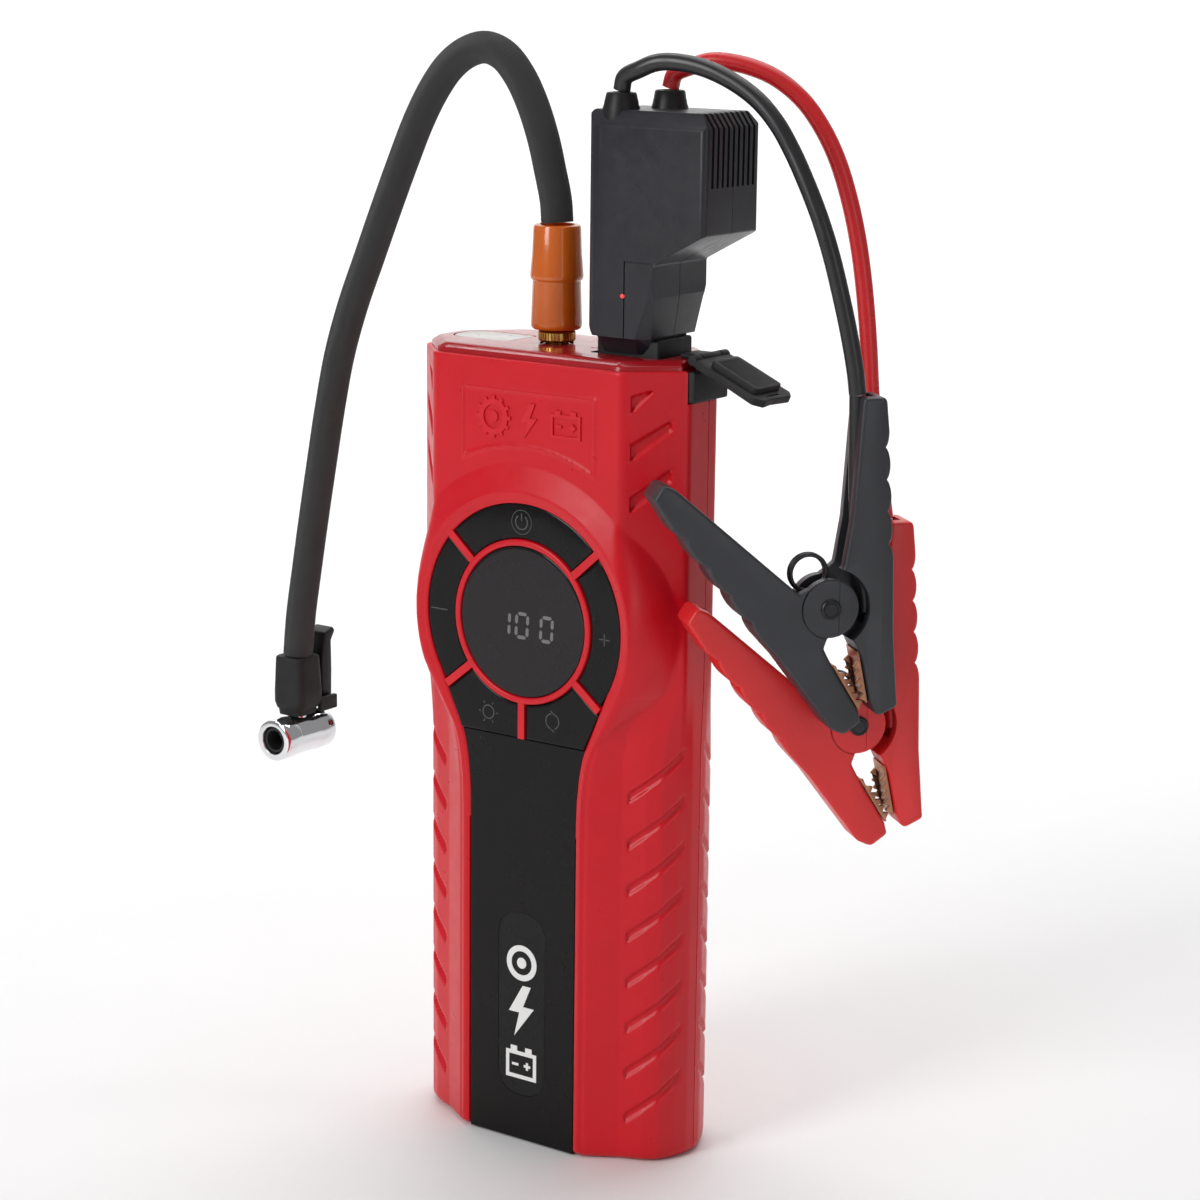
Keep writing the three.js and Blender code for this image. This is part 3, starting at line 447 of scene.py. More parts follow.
# ---- Cords: the routes are part of the CAD ----
HOSE_ROUTE = [
    (-5.6, 0, 272.7), (-6.2, 0, 279), (-8.2, 0, 287), (-10.9, 0, 296.5), (-14.6, 0, 305.6), (-19.2, 0, 313.4),
    (-25, 0, 319.2), (-31.6, 0, 321.4), (-38.4, 0, 319.8), (-44.8, 0, 315.6), (-50.6, 0, 308.9),
              (-56.4, 0, 299.6),
    (-62.4, 0, 287.4), (-69.2, 0, 272.6), (-76, 0, 257.2), (-82.4, 0, 242.6), (-87.8, 0, 227.2),
              (-91.8, 0, 210.6),
    (-95.2, 0, 193.8), (-98.6, 0, 176.4), (-101.8, 0, 159), (-104.6, 0, 143), (-106, 0, 130.2),
]
BLACK_ROUTE = [
    (21.5, -7.2, 311.6), (22.6, -7.4, 315), (27.6, -7.4, 317.4), (32.1, -6.7, 319.2), (36.8, -5.8, 319.7),
    (45.5, -4.5, 318.6), (54.5, -3.1, 315.3), (62.7, -2.1, 310.3), (68.8, -1.5, 304.2), (73.6, -1, 297),
    (78.4, -1, 288.6), (82.8, -0.9, 279.6), (86.4, -0.5, 270), (89.3, 0.2, 259.6), (91.8, 1.2, 248.6),
    (93.5, 2.2, 238.6), (94.1, 2.8, 232.4),
]
RED_ROUTE = [
    (29.5, 5, 312.1), (30.8, 5.2, 315.8), (36.2, 6.2, 318.2), (40.8, 7.6, 319.6), (45.4, 9, 319.6),
    (52.4, 11.2, 318.2), (59.4, 13.4, 315.2), (66.6, 15.6, 309.4), (72.2, 17.2, 301.8), (76.4, 18.4, 293.4),
    (80, 19.4, 282.6), (82.8, 20.2, 270.6), (84.8, 20.8, 257.6), (86.2, 21.2, 244.6), (87.2, 21.5, 231.6),
    (88.2, 21.9, 219), (89.8, 22.5, 207), (91.4, 23.1, 199), (92, 23.4, 194.7),
]


def through(points, per_span=10):
    """A smooth line through the points, the same centripetal curve that the CAD sweeps along."""
    p = [np.array(q, float) for q in points]
    p = [2 * p[0] - p[1], *p, 2 * p[-1] - p[-2]]
    out = []
    for i in range(1, len(p) - 2):
        knots = [0.0]
        for k in range(3):
            knots.append(knots[-1] + max(np.linalg.norm(p[i + k] - p[i + k - 1]), 1e-6) ** 0.5)
        for step in range(per_span):
            t = lerp(knots[1], knots[2], step / per_span)
            a = [lerp(p[i - 1 + k], p[i + k], (t - knots[k]) / (knots[k + 1] - knots[k])) for k in range(3)]
            b = [lerp(a[k], a[k + 1], (t - knots[k]) / (knots[k + 2] - knots[k])) for k in range(2)]
            out.append(lerp(b[0], b[1], (t - knots[1]) / (knots[2] - knots[1])))
    out.append(p[-2])
    return np.array(out)


def length_of(points):
    return float(np.linalg.norm(np.diff(points, axis=0), axis=1).sum())


def cable(name, route, diameter, look, body, nodes):
    line = through(route)
    data = bpy.data.curves.new(name, "CURVE")
    data.dimensions, data.bevel_depth, data.bevel_resolution = "3D", diameter / 2 * MM, 8
    data.use_fill_caps = True
    spline = data.splines.new("POLY")
    spline.points.add(len(line) - 1)
    spline.points.foreach_set("co", np.c_[line * MM, np.ones(len(line))].ravel())
    spline.use_smooth = True
    made = add_object(name, data)
    data.materials.append(look)
    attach(made, body)
    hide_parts(*nodes)
    return made, length_of(line) * MM


def frames_along(line):
    tangents = np.gradient(line, axis=0)
    tangents /= np.linalg.norm(tangents, axis=1)[:, None]
    side = np.cross(tangents[0], (0, 1, 0))
    side /= np.linalg.norm(side)
    sides = []
    for tangent in tangents:
        side = side - tangent * (side @ tangent)
        side /= np.linalg.norm(side)
        sides.append(side.copy())
    sides = np.array(sides)
    return sides, np.cross(tangents, sides)


def resample(line, count):
    along = np.r_[0, np.cumsum(np.linalg.norm(np.diff(line, axis=0), axis=1))]
    at = np.linspace(0, along[-1], count)
    return np.stack([np.interp(at, along, line[:, i]) for i in range(3)], 1), along[-1]


def braided_hose():
    """The hose as a mesh tube with its woven strands standing proud, over and under each other."""
    rings, sides = 900, 60
    line, length = resample(through(HOSE_ROUTE), rings)
    first, second = frames_along(line)
    angle = np.arange(sides) * 2 * math.pi / sides
    run = np.linspace(0, length, rings)
    strands = 15
    pitch = 2 * math.pi / 2.2
    a = strands * angle[None, :] + run[:, None] * pitch
    b = strands * angle[None, :] - run[:, None] * pitch
    weave = 0.5 + 0.5 * np.sin(a) * np.sin(b)
    radius = HOSE_D / 2 - 0.16 + 0.2 * weave
    points = (line[:, None, :] + first[:, None, :] * (radius * np.cos(angle))[:, :, None]
              + second[:, None, :] * (radius * np.sin(angle))[:, :, None]).reshape(-1, 3)
    made = mesh_object("hose_braided", points, loft_faces(rings, sides))
    lay = made.data.uv_layers.new(name="Lay")
    corners = np.zeros(len(made.data.loops), int)
    made.data.loops.foreach_get("vertex_index", corners)
    ring, side = corners // sides, corners % sides
    loop_total = np.array([p.loop_total for p in made.data.polygons])
    face_of = np.repeat(np.arange(len(loop_total)), loop_total)
    most = np.zeros(len(loop_total), int)
    np.maximum.at(most, face_of, side)
    side = np.where((side == 0) & (most[face_of] == sides - 1), sides, side)
    uv = np.stack([ring * length / (rings - 1), side * math.pi * HOSE_D / sides], 1)
    lay.data.foreach_set("uv", uv.astype(np.float32).ravel())
    piece(made, "hose", BRAID, ["air_hose"], 80)
    return made, line * MM, length * MM


hose, hose_path, hose_length = braided_hose()
black_cable, black_length = cable("lead_black", BLACK_ROUTE, CABLE_D, CABLE_BLACK, "smart_plug",
                                  ["black_cable"])
red_cable, red_length = cable("lead_red", RED_ROUTE, CABLE_D, CABLE_RED, "smart_plug",
                              ["red_cable"])


# ---- Housing ----
HALF_TABLE = ((-5, 19.3), (100, 19.3), (106, 19.4), (112, 19.8), (119, 20.7), (124, 21.9), (128, 23.7),
              (133, 26.1),
              (138, 28.3), (142, 30.1))


def opening_half(z):
    """Half-width of the black area: the strip's S-curve below, the dial's circle above."""
    z = np.asarray(z, float)
    fine = np.interp(z, [t[0] for t in HALF_TABLE], [t[1] for t in HALF_TABLE])
    spread = [np.interp(z + d, [t[0] for t in HALF_TABLE],
                        [t[1] for t in HALF_TABLE]) for d in (-3, -1.5, 1.5, 3)]
    strip = np.where(z < 136, (fine + sum(spread)) / 5, fine)
    round_half = np.sqrt(np.maximum(OPENING_R ** 2 - (z - DIAL_Z) ** 2, 0))
    return np.where(z > 142, round_half, np.maximum(strip, np.where(z > DIAL_Z - OPENING_R, round_half, 0)))


def opening_distance(x, z):
    """Distance outside the dial's circle or the strip, negative inside."""
    slope = (opening_half(z + 0.5) - opening_half(z - 0.5))
    strip = (np.abs(x) - opening_half(z)) / np.sqrt(1 + np.clip(slope, -2, 2) ** 2)
    dial = np.hypot(x, z - DIAL_Z) - OPENING_R
    return lerp(strip, dial, smooth(134, 149, z))


def front_section(z):
    """The outline's right half at height z, from the middle of the front to the seam."""
    w = float(smooth(119, 150, z))
    band = float(np.clip(opening_half(min(z, 158)) + 3.6, 23, 33))
    low = [(band, -22.5, 2.2), (31.5, -17.2, 2.5), (38.3, -14.4, 4), (42, -11.9, 4), (44.6, -7.2, 5),
           (46.1, -2.6, 5)]
    high = [(33, -22.5, 4.5), (38, -17.5, 4), (42.5, -13, 3), (45.2, -10.3, 4), (47, -8.5, 6), (47, -4, 4)]
    corners = [[*(lerp(np.array(a), np.array(b), w))] for a, b in zip(low, high)]
    corners[0][0] = band
    end = (lerp(46.4, 47.0, w), 1.0)
    return rounded([[0, -22.5], *corners, [*end], [0, 1.0]], 6)[:-1]


def rear_section(z):
    w = float(smooth(119, 150, z))
    low = [(46.2, 4.2, 4), (44.2, 9.4, 5), (41.2, 14.6, 6), (31, 22.5, 7)]
    high = [(47, 3.5, 3), (47, 5.2, 7), (44.5, 8, 4), (32, 22.5, 9)]
    corners = [[*(lerp(np.array(a), np.array(b), w))] for a, b in zip(low, high)]
    start = (lerp(46.4, 47.0, w), 1.3)
    return rounded([[*start], *corners, [0, 22.5], [0, 1.3]], 6)[:-1][::-1]


def sampled(section, columns, straight):
    """Points along a half section: by x while it is the flat front, then by length."""
    x = section[:, 0]
    keep = np.r_[True, np.diff(x) > 1e-6]
    flat = np.linspace(0, 31, straight)
    first = np.stack([flat, np.interp(flat, x[keep], section[keep, 1])], 1)
    cut_at = np.argmax(x > 31)
    rest = np.vstack([first[-1], section[cut_at:]])
    along = np.r_[0, np.cumsum(np.linalg.norm(np.diff(rest, axis=0), axis=1))]
    at = np.linspace(0, along[-1], columns - straight + 1)[1:]
    second = np.stack([np.interp(at, along, rest[:, i]) for i in range(2)], 1)
    return np.vstack([first, second]), np.r_[flat, 31 + at]


def quad_distance(s, z, corners):
    """Distance outside a convex outline, whose corners run anticlockwise."""
    far = np.full(np.shape(s), -1e9)
    for i in range(len(corners)):
        (s0, z0), (s1, z1) = corners[i], corners[(i + 1) % len(corners)]
        run = math.hypot(s1 - s0, z1 - z0)
        far = np.maximum(far, ((s - s0) * (z1 - z0) - (z - z0) * (s1 - s0)) / run)
    return far


def groove(s, z, corners, depth, wall=0.55):
    away = quad_distance(s, z, corners)
    return -depth * (1 - smooth(-wall, 0.05, away))


UPPER_GROOVES = [
    [(35.9, 223.4), (42.3, 229.6), (42.3, 230.4), (35.9, 228.6)],
    [(35.9, 209.9), (47.7, 218.4), (47.7, 221.8), (35.9, 215)],
    [(35.9, 195.4), (47.7, 204), (47.7, 208), (35.9, 200)],
]
PITCH = 14.02


def raised_line(distance, half, height):
    return height * (1 - smooth(half - 0.35, half + 0.25, np.abs(distance)))


def label_relief(x, z):
    """The embossed frame over the dial."""
    box = np.maximum(np.abs(x - 1.2) - 23.1, z - 226.6)
    bottom = 51.2 - np.hypot(x, z - DIAL_Z)
    frame_line = np.maximum(box, bottom)
    relief = raised_line(frame_line, 0.45, 0.42)
    return relief


def front_surface(x, y, s, z):
    """The front's new depth y, with its dial, strip, borders and relief, and the cut along the normal."""
    away = opening_distance(x, z)
    dial = smooth(124, 146, z)
    slope_in = lerp(1.9, 3.0, dial)
    crest = lerp(-23.45, -24.5, dial)
    inner = lerp(-22.5, -23.35, dial)
    width_out = lerp(1.0, 8.0, dial)
    rise = lerp(crest, y, np.clip((away - slope_in) / width_out, 0, 1))
    border = np.where(away < slope_in, lerp(inner, crest, np.clip(away / slope_in, 0, 1) ** 0.8), rise)
    body = np.where(away < slope_in + width_out, np.minimum(border, np.where(away > slope_in, border, 99)), y)
    body = np.where(away < np.where(z > 99, 0.4, -0.02), -19.7, body)
    relief = np.where((np.abs(x) < 26) & (z > 200) & (away > slope_in + width_out - 3), label_relief(x, z), 0)
    body = body - relief
    sunk = np.zeros(np.shape(x))
    for corners in UPPER_GROOVES:
        sunk = np.minimum(sunk, groove(s, z, corners, 1.25))
    for k in range(8):
        drop = k * PITCH
        corners = [(33.4, 109.6 - drop), (51.2, 122.9 - drop), (51.2, 126.2 - drop), (33.4, 112.9 - drop)]
        sunk = np.minimum(sunk, groove(s, z, corners, 0.95))
    return body, sunk


def shell(name, front):
    fillet = [0, 0.2, 0.6, 1.2, 2.0, 3.0]
    rows = np.r_[fillet, np.linspace(3, 112, 146)[1:], np.linspace(112, 206, 176)[1:],
                 np.linspace(206, 232, 45)[1:],
                 [233.2, 234.2, 234.75, 235.1, RIM_Z]] if front else \
        np.r_[fillet, np.linspace(3, 128, 166)[1:], np.linspace(128, 232, 54)[1:],
              [233.2, 234.2, 234.75, 235.1, RIM_Z]]
    while (len(rows) - 1) % 4:
        rows = np.sort(np.r_[rows, (rows[-7] + rows[-8]) / 2])
    columns, straight = (109, 63) if front else (73, 33)
    grid_x, grid_y, grid_s = [], [], []
    for z in rows:
        half, s = sampled((front_section if front else rear_section)(z), columns, straight)
        if z < 3:
            pull = 3 - math.sqrt(9 - (3 - z) ** 2)
        elif z > RIM_Z - 0.6:
            pull = 0.6 - math.sqrt(max(0.36 - (z - RIM_Z + 0.6) ** 2, 0))
        else:
            pull = 0
        tangent = np.gradient(half, axis=0)
        tangent[0] = (1, 0)
        tangent[-1] = (0, 1 if front else -1)
        normal = np.stack([tangent[:, 1], -tangent[:, 0]], 1) * (1 if front else -1)
        normal /= np.linalg.norm(normal, axis=1)[:, None]
        half = half - normal * pull
        half[-1, 1] = 1.0 if front else 1.3
        grid_x.append(np.r_[-half[::-1, 0], half[1:, 0]])
        grid_y.append(np.r_[half[::-1, 1], half[1:, 1]])
        grid_s.append(np.r_[s[::-1], s[1:]])
    x, y, s = np.array(grid_x), np.array(grid_y), np.array(grid_s)
    z = np.repeat(rows[:, None], x.shape[1], 1)
    tangent_x, tangent_y = np.gradient(x, axis=1), np.gradient(y, axis=1)
    normal_x, normal_y = tangent_y, -tangent_x
    if not front:
        normal_x, normal_y = -normal_x, -normal_y
    size = np.hypot(normal_x, normal_y)
    normal_x, normal_y = normal_x / size, normal_y / size
    base_x, base_y = x.copy(), y.copy()
    if front:
        y, sunk = front_surface(x, y, s, z)
        keep = smooth(0.2, 3.2, z)
        y = np.where(np.abs(x) < 26, lerp(np.maximum(y, base_y - 1.2 * keep), y, keep), y)
    else:
        sunk = np.zeros(x.shape)
        ends = s.max(axis=1)[:, None]
        for k in range(9):
            drop = k * PITCH
            corners = [(-20.5, 109.6 - drop), (-2.3, 122.9 - drop), (-2.3, 126.2 - drop),
                       (-20.5, 112.9 - drop)]
            if k < 8:
                sunk = np.minimum(sunk, groove(s - ends, z, corners, 0.95))
        plate = np.maximum(np.abs(x) - 19, np.abs(z - 62) - 34)
        sunk = np.minimum(sunk, -0.5 * (1 - smooth(-0.5, 0.1, plate)))
    x = x + normal_x * sunk
    y = y + normal_y * sunk
    x[:, 0], x[:, -1] = base_x[:, 0], base_x[:, -1]
    y[:, 0], y[:, -1] = base_y[:, 0], base_y[:, -1]
    outer = np.stack([x, y, z], 2)
    pick_rows, pick_columns = slice(0, None, 4), slice(0, None, 4)
    thick = 2.2 + 1.9 * smooth(0.75, 0.98, -normal_y) * (1 if front else 0)
    thick = np.where(z > 231.9, 1.0, thick)
    in_x = (base_x - normal_x * thick)[pick_rows, pick_columns]
    in_y = (base_y - normal_y * thick)[pick_rows, pick_columns]
    in_z = rows[pick_rows]
    in_z = np.where(in_z < 5, in_z + 2.4 * (1 - in_z / 5), in_z)
    in_y[:, 0] = in_y[:, -1] = 1.0 if front else 1.3
    inner = np.stack([in_x, in_y, np.repeat(in_z[:, None], in_x.shape[1], 1)], 2)
    m, n = outer.shape[:2]
    p, q = inner.shape[:2]
    offset = m * n
    faces = [(i * n + j, i * n + j + 1, (i + 1) * n + j + 1, (i + 1) * n + j)
             for i in range(m - 1) for j in range(n - 1)]
    faces += [(offset + i * q + j, offset + (i + 1) * q + j, offset + (i + 1) * q + j + 1,
               offset + i * q + j + 1)
              for i in range(p - 1) for j in range(q - 1)]
    for j in range(q - 1):
        top = [(m - 1) * n + 4 * j + k for k in range(5)]
        faces.append((*top, offset + (p - 1) * q + j + 1, offset + (p - 1) * q + j))
    for edge_out, edge_in in ((0, 0), (n - 1, q - 1)):
        for i in range(p - 1):
            run = [(4 * i + k) * n + edge_out for k in range(5)]
            faces.append((*run, offset + (i + 1) * q + edge_in, offset + i * q + edge_in))
    faces.append(tuple(range(n)))
    faces.append(tuple(range(offset, offset + q)))
    faces.append((0, n - 1, offset + q - 1, offset))
    return mesh_object(name, np.concatenate([outer.reshape(-1, 3), inner.reshape(-1, 3)]), faces)


def side_openings():
    """The port cover's seat, the opening behind it, and the seat of the flap's strap."""
    return [cuboid("tool", (-50, -5, 188), (-45.6, 5, 220)), cuboid("tool", (-50, -3.4, 191),
                                                                    (-40, 3.4, 218)),
            cuboid("tool", (45.5, -9, 226), (49, 9, 237))]


front = shell("housing_front", True)
cut(front, *side_openings())
piece(front, "pack", RED, ["front_shell"], 50)
rear = shell("housing_rear", False)
cut(rear, *side_openings(),
    *[slab("tool", circle(r, 32, x, 14), a, b, axis="y")
      for x in (-30, 30) for r, a, b in ((3.6, 21.2, 25), (2.4, 15, 25))])
piece(rear, "pack", RED, ["rear_shell"], 50)



def dial_lip():
    """The crisp inner edge of the red border, all round the dial and down both sides of its neck."""
    low = np.linspace(98, 146, 60)
    side = np.stack([opening_half(low), low], 1)
    start = math.atan2(148 - DIAL_Z, math.sqrt(OPENING_R ** 2 - (148 - DIAL_Z) ** 2))
    turn = np.linspace(start, math.pi / 2, 70)[:-1]
    right = np.vstack([side, np.stack([OPENING_R * np.cos(turn), DIAL_Z + OPENING_R * np.sin(turn)], 1)])
    path = np.vstack([right, [[0, DIAL_Z + OPENING_R]], right[::-1] * (-1, 1)])
    ahead = np.gradient(path, axis=0)
    ahead /= np.linalg.norm(ahead, axis=1)[:, None]
    out = np.stack([ahead[:, 1], -ahead[:, 0]], 1)
    points = []
    for (x, z), (u, v) in zip(path, out):
        dial = float(smooth(124, 146, z))
        slope_in, crest, inner = lerp(1.9, 3.0, dial), lerp(-23.45, -24.5, dial), lerp(-22.5, -23.35, dial)

        def level(away):
            return lerp(inner, crest, (away / slope_in) ** 0.8)

        for away, y in ((-0.2, -20.7), (-0.2, inner + 0.15), (-0.1, inner - 0.02), (0.05, level(0.05) - 0.06),
                        (0.45, level(0.45) - 0.06), (0.9, level(0.9) - 0.03), (1.3, level(1.3) + 0.25),
                        (1.3, -20.7)):
            points.append((x + u * away, y, z + v * away))
    return mesh_object("dial_lip", points, loft_faces(len(path), len(points) // len(path)))


piece(dial_lip(), "pack", RED, (), 50)

cap_corners = [[32.4, -21.15, 6], [45.65, -8.1, 7], [45.65, 5, 8], [31.3, 21.15, 9]]
cap_outline = rounded(cap_corners + [[-x, y, r] for x, y, r in cap_corners[::-1]], 10)
cap = stack("top_cover", cap_outline, [(0, 232.9), (0, 236.1), (0.15, 236.5), (0.5, 236.85), (1.5, 237.45),
                                       (1.95, 237.75), (2.5, 237.95), (3.2, 238)])
lens_hole = rounded([[-40.7, -7.7, 7.2], [-17.8, -7.7, 1.4], [-17.8, 7.7, 1.4], [-40.7, 7.7, 7.2]], 10)
slots = [cuboid("tool", (8.4 + 0.4 * i, -2.9 + 2.3 * i, 237.4), (11.6 + 0.4 * i, -1.9 + 2.3 * i, 239))
         for i in range(3)]
socket_hole = rounded([[13.2, -10.4, 2], [37.8, -10.4, 2], [37.8, 10.4, 2], [13.2, 10.4, 2]], 4)
cut(cap, slab("tool", lens_hole, 230, 240), slab("tool", circle(5, 40, NUT_X, 0), 230, 240),
    slab("tool", socket_hole, 230, 240), cuboid("tool", (43.8, -9, 230), (50, 9, 240)), *slots)
piece(cap, "pack", CAP, ["top_cap"], 28)

# ---- Dial ----
SPOKES = [41.5, 138.5, 219, 270, 321]


def dial_ring():
    profile = [(22.35, -20.7), (22.35, -23.4), (22.5, -23.65), (22.8, -23.78), (23.8, -23.78), (24.1, -23.65),
               (24.25, -23.4), (24.25, -20.7)]
    ring = lathe("dial_ring", profile, 160, (0, 0, DIAL_Z), "y")
    bars = []
    for angle in SPOKES:
        reach = DIAL_Z - 125.0 if angle == 270 else 35.3
        outline = np.array([[23.6, -1.15], [reach, -1.15], [reach, 1.15], [23.6, 1.15]])
        bar = slab("tool", outline, -23.62, -20.7, 0.25, "y", both=False)
        turn = Matrix.Translation((0, 0, DIAL_Z * MM)) @ Matrix.Rotation(-math.radians(angle), 4, "Y")
        bar.data.transform(turn)
        bars.append(bar)
    return union(ring, *bars)


piece(dial_ring(), "pack", RED, ["dial_frame"], 40)


def arc(radius, start, end, trim, steps=26):
    """Points along an arc that stops short of the spokes by trim at each end."""
    turn = math.degrees(math.asin(trim / radius)) * (1 if end > start else -1)
    angles = np.radians(np.linspace(start + turn, end - turn, steps))
    return np.stack([radius * np.cos(angles), DIAL_Z + radius * np.sin(angles)], 1)


def button_shape(start, end):
    return np.vstack([arc(OPENING_R - 0.35, start, end, 1.55), arc(24.6, end, start, 1.55)])


def lower_button_shape():
    """Right of the middle spoke, from the ring down to the straight edge over the strip."""
    inner = arc(24.6, 320.9, 270, 1.55)
    z = np.linspace(125.1, 136.2, 14)
    side = np.stack([opening_half(z) - 0.35, z], 1)
    turn = math.radians(321)
    far = np.array([math.cos(turn),
                    math.sin(turn)]) * 34.4 + np.array([math.sin(turn), -math.cos(turn)]) * 1.55
    end = np.array([[far[0], far[1] + DIAL_Z]])
    return np.vstack([inner, [[1.55, 125.1]], side, end])


def button(name, outline, body, node_name, icon):
    base = stack(name, outline, [(0.1, -20.9), (0, -21.1), (0, -22.85), (0.1, -23.05), (0.3, -23.15),
                                 (0.7, -23.2)],
                 "y")
    piece(base, body, GLOSS, [node_name], 30)
    mark = icon(name + "_mark")
    piece(mark, body, GREY_PRINT, (), 30)


def band(name, radius, width, start, end, x, z, steps=40):
    """A thin printed arc."""
    angles = np.radians(np.linspace(start, end, steps))
    outer = np.stack([x + (radius + width / 2) * np.cos(angles), z + (radius + width / 2) * np.sin(angles)],
                     1)
    inner = np.stack([x + (radius - width / 2) * np.cos(angles), z + (radius - width / 2) * np.sin(angles)],
                     1)
    return slab(name, np.vstack([outer, inner[::-1]]), -23.27, -23.1, axis="y")


def bar(name, start, end, width, low=-23.27, high=-23.1):
    a, b, _, across = between(start, end)
    across = across * width / 2
    return slab(name, np.array([a - across, b - across, b + across, a + across]), low, high, axis="y")


def power_icon(name):
    x, z = -0.4, 189.1
    return together(band(name, 2.1, 0.4, 125, 415, x, z), bar("tool", (x, z + 0.4), (x, z + 2.6), 0.4),
                    band("tool", 3.5, 0.22, 0, 359, x, z, 60))


def minus_icon(name):
    return bar(name, (-33.4, 159.6), (-27.4, 159.6), 0.35)


def plus_icon(name):
    return together(bar(name, (27.3, 158.8), (30.9, 158.8), 0.35),
                    bar("tool", (29.1, 157), (29.1, 160.6), 0.35))


def lamp_icon(name):
    x, z = -12.1, 131.2
    rays = [bar("tool", (x + 2.8 * math.cos(a), z + 2.8 * math.sin(a)),
                (x + 3.5 * math.cos(a), z + 3.5 * math.sin(a)),
                0.35) for a in np.radians(range(0, 360, 60))]
    return together(band(name, 2.0, 0.35, 0, 359, x, z), *rays)


def mode_icon(name):
    x, z = 11.1, 132
    return together(band(name, 2.3, 0.35, 100, 250, x, z), band("tool", 2.3, 0.35, -70, 80, x, z),
                    bar("tool", (x + 0.4, z + 2.3), (x - 0.7, z + 3.1), 0.35),
                    bar("tool", (x - 0.4, z - 2.3), (x + 0.7, z - 3.1), 0.35))


button("key_power", button_shape(41.5, 138.5), "power_button", "button_power", power_icon)
button("key_minus", button_shape(138.5, 219), "minus_button", "button_minus", minus_icon)
button("key_plus", button_shape(-39, 41.5), "plus_button", "button_plus", plus_icon)
right_lower = lower_button_shape()
button("key_mode", right_lower, "mode_button", "button_mode", mode_icon)
button("key_light", right_lower[::-1] * (-1, 1), "light_button", "button_light", lamp_icon)



def label_marks():
    """Plain raised pictograms inside the frame: a tyre, a bolt and a battery."""
    low, high = -22.95, -22.3
    x, z = -11, 218.6
    tyre = lathe("label_marks", [(3.5, low), (5.1, low), (5.1, high), (3.5, high)], 72, (x, 0, z), "y")
    marks = [lathe("tool", [(0, low), (1.6, low), (1.6, high), (0, high)], 40, (x, 0, z), "y"),
             slab("tool", np.array([[1.9, 223.6], [-1.1, 218.1], [1.2, 218.1], [0.1, 213.6], [4.4, 219.3],
                                    [2.0, 219.3],
                                 [3.8, 223.6]]), low, high, axis="y")]
    for turn in np.arange(12) * math.pi / 6:
        marks.append(bar("tool", (x + 4.8 * math.cos(turn), z + 4.8 * math.sin(turn)),
                         (x + 6.1 * math.cos(turn), z + 6.1 * math.sin(turn)), 1.0, low, high))
    for a, b in (((9.2, 215), (19.8, 215)), ((9.2, 221), (19.8, 221)), ((9.7, 215), (9.7, 221)),
                 ((19.3, 215), (19.3, 221)),
                 ((10.8, 222), (12.8, 222)), ((16.2, 222), (18.2, 222)), ((11, 218), (13.2, 218)),
                 ((15.8, 218), (18, 218)),
                 ((16.9, 216.9), (16.9, 219.1))):
        marks.append(bar("tool", a, b, 1.2 if abs(a[1] - 222) < 0.1 else 0.9, low, high))
    return bevelled(union(tyre, *marks), 0.12, 2, 30)


piece(label_marks(), "pack", RED, (), 30)

window = lathe("display_glass", [(0, -20.9), (22.1, -20.9), (22.1, -23.1), (22.0, -23.25), (21.75, -23.33),
                                 (21.2, -23.36), (0, -23.4)][::-1], 128, (0, 0, DIAL_Z), "y")
piece(window, "pack", GLASS, ["display_window"], 20)


def digits():
    """The reading 100 in seven-segment bars, leaning a little."""
    made = []
    height, width, thick, gap = 8.0, 5.0, 1.05, 0.3

    def segment(start, end):
        a, b, along, across = between(start, end)
        across = across * thick / 2
        a, b = a + along * gap, b - along * gap
        ends = [a, a + along * thick / 2 + across, b - along * thick / 2 + across, b,
                b - along * thick / 2 - across,
                a + along * thick / 2 - across]
        outline = np.array([[p[0] + (p[1] - 158.8) * 0.05, p[1]] for p in ends])
        made.append(slab("tool", outline, -23.46, -23.37, axis="y"))

    low, high = 158.8 - height / 2 + thick / 2, 158.8 + height / 2 - thick / 2
    for left in (-1.9, 6.9):
        right = left + width - thick
        segment((left, 158.8), (left, high))
        segment((left, low), (left, 158.8))
        segment((right, 158.8), (right, high))
        segment((right, low), (right, 158.8))
        segment((left, high), (right, high))
        segment((left, low), (right, low))
    segment((-4.5, 158.8), (-4.5, high))
    segment((-4.5, low), (-4.5, 158.8))
    return together(*made)


reading = digits()
reading.name = "display_reading"
piece(reading, "pack", DIGIT)


def strip_outline(margin, top=124.75, bottom=0.35):
    z = np.r_[np.linspace(bottom, 98, 8), np.linspace(100, top, 30)]
    half = opening_half(z) - margin
    return np.vstack([np.stack([half, z], 1), np.stack([-half[::-1], z[::-1]], 1)])


strip = stack("front_strip", strip_outline(0.2), [(0.1, -20.5), (0, -20.7), (0, -22.2), (0.12, -22.42),
                                                  (0.4, -22.5),
                                                  (0.8, -22.52)], "y")
badge_hole = rounded([[-8.6, 14.4, 8.5], [8.6, 14.4, 8.5], [8.6, 71.6, 8.5], [-8.6, 71.6, 8.5]], 16)
cut(strip, slab("tool", badge_hole, -23, -22.2, axis="y"))
piece(strip, "pack", GLOSS, ["front_panel"], 30)
BADGE = material("badge_matt", (0.006, 0.006, 0.006), 0.3, vary=0.1, grain=0.2, grain_scale=1600,
                 specular=0.22)
badge = slab("badge_plate", inset(badge_hole, 0.12), -22.46, -22.1, 0.12, "y", both=False)
piece(badge, "pack", BADGE, (), 30)


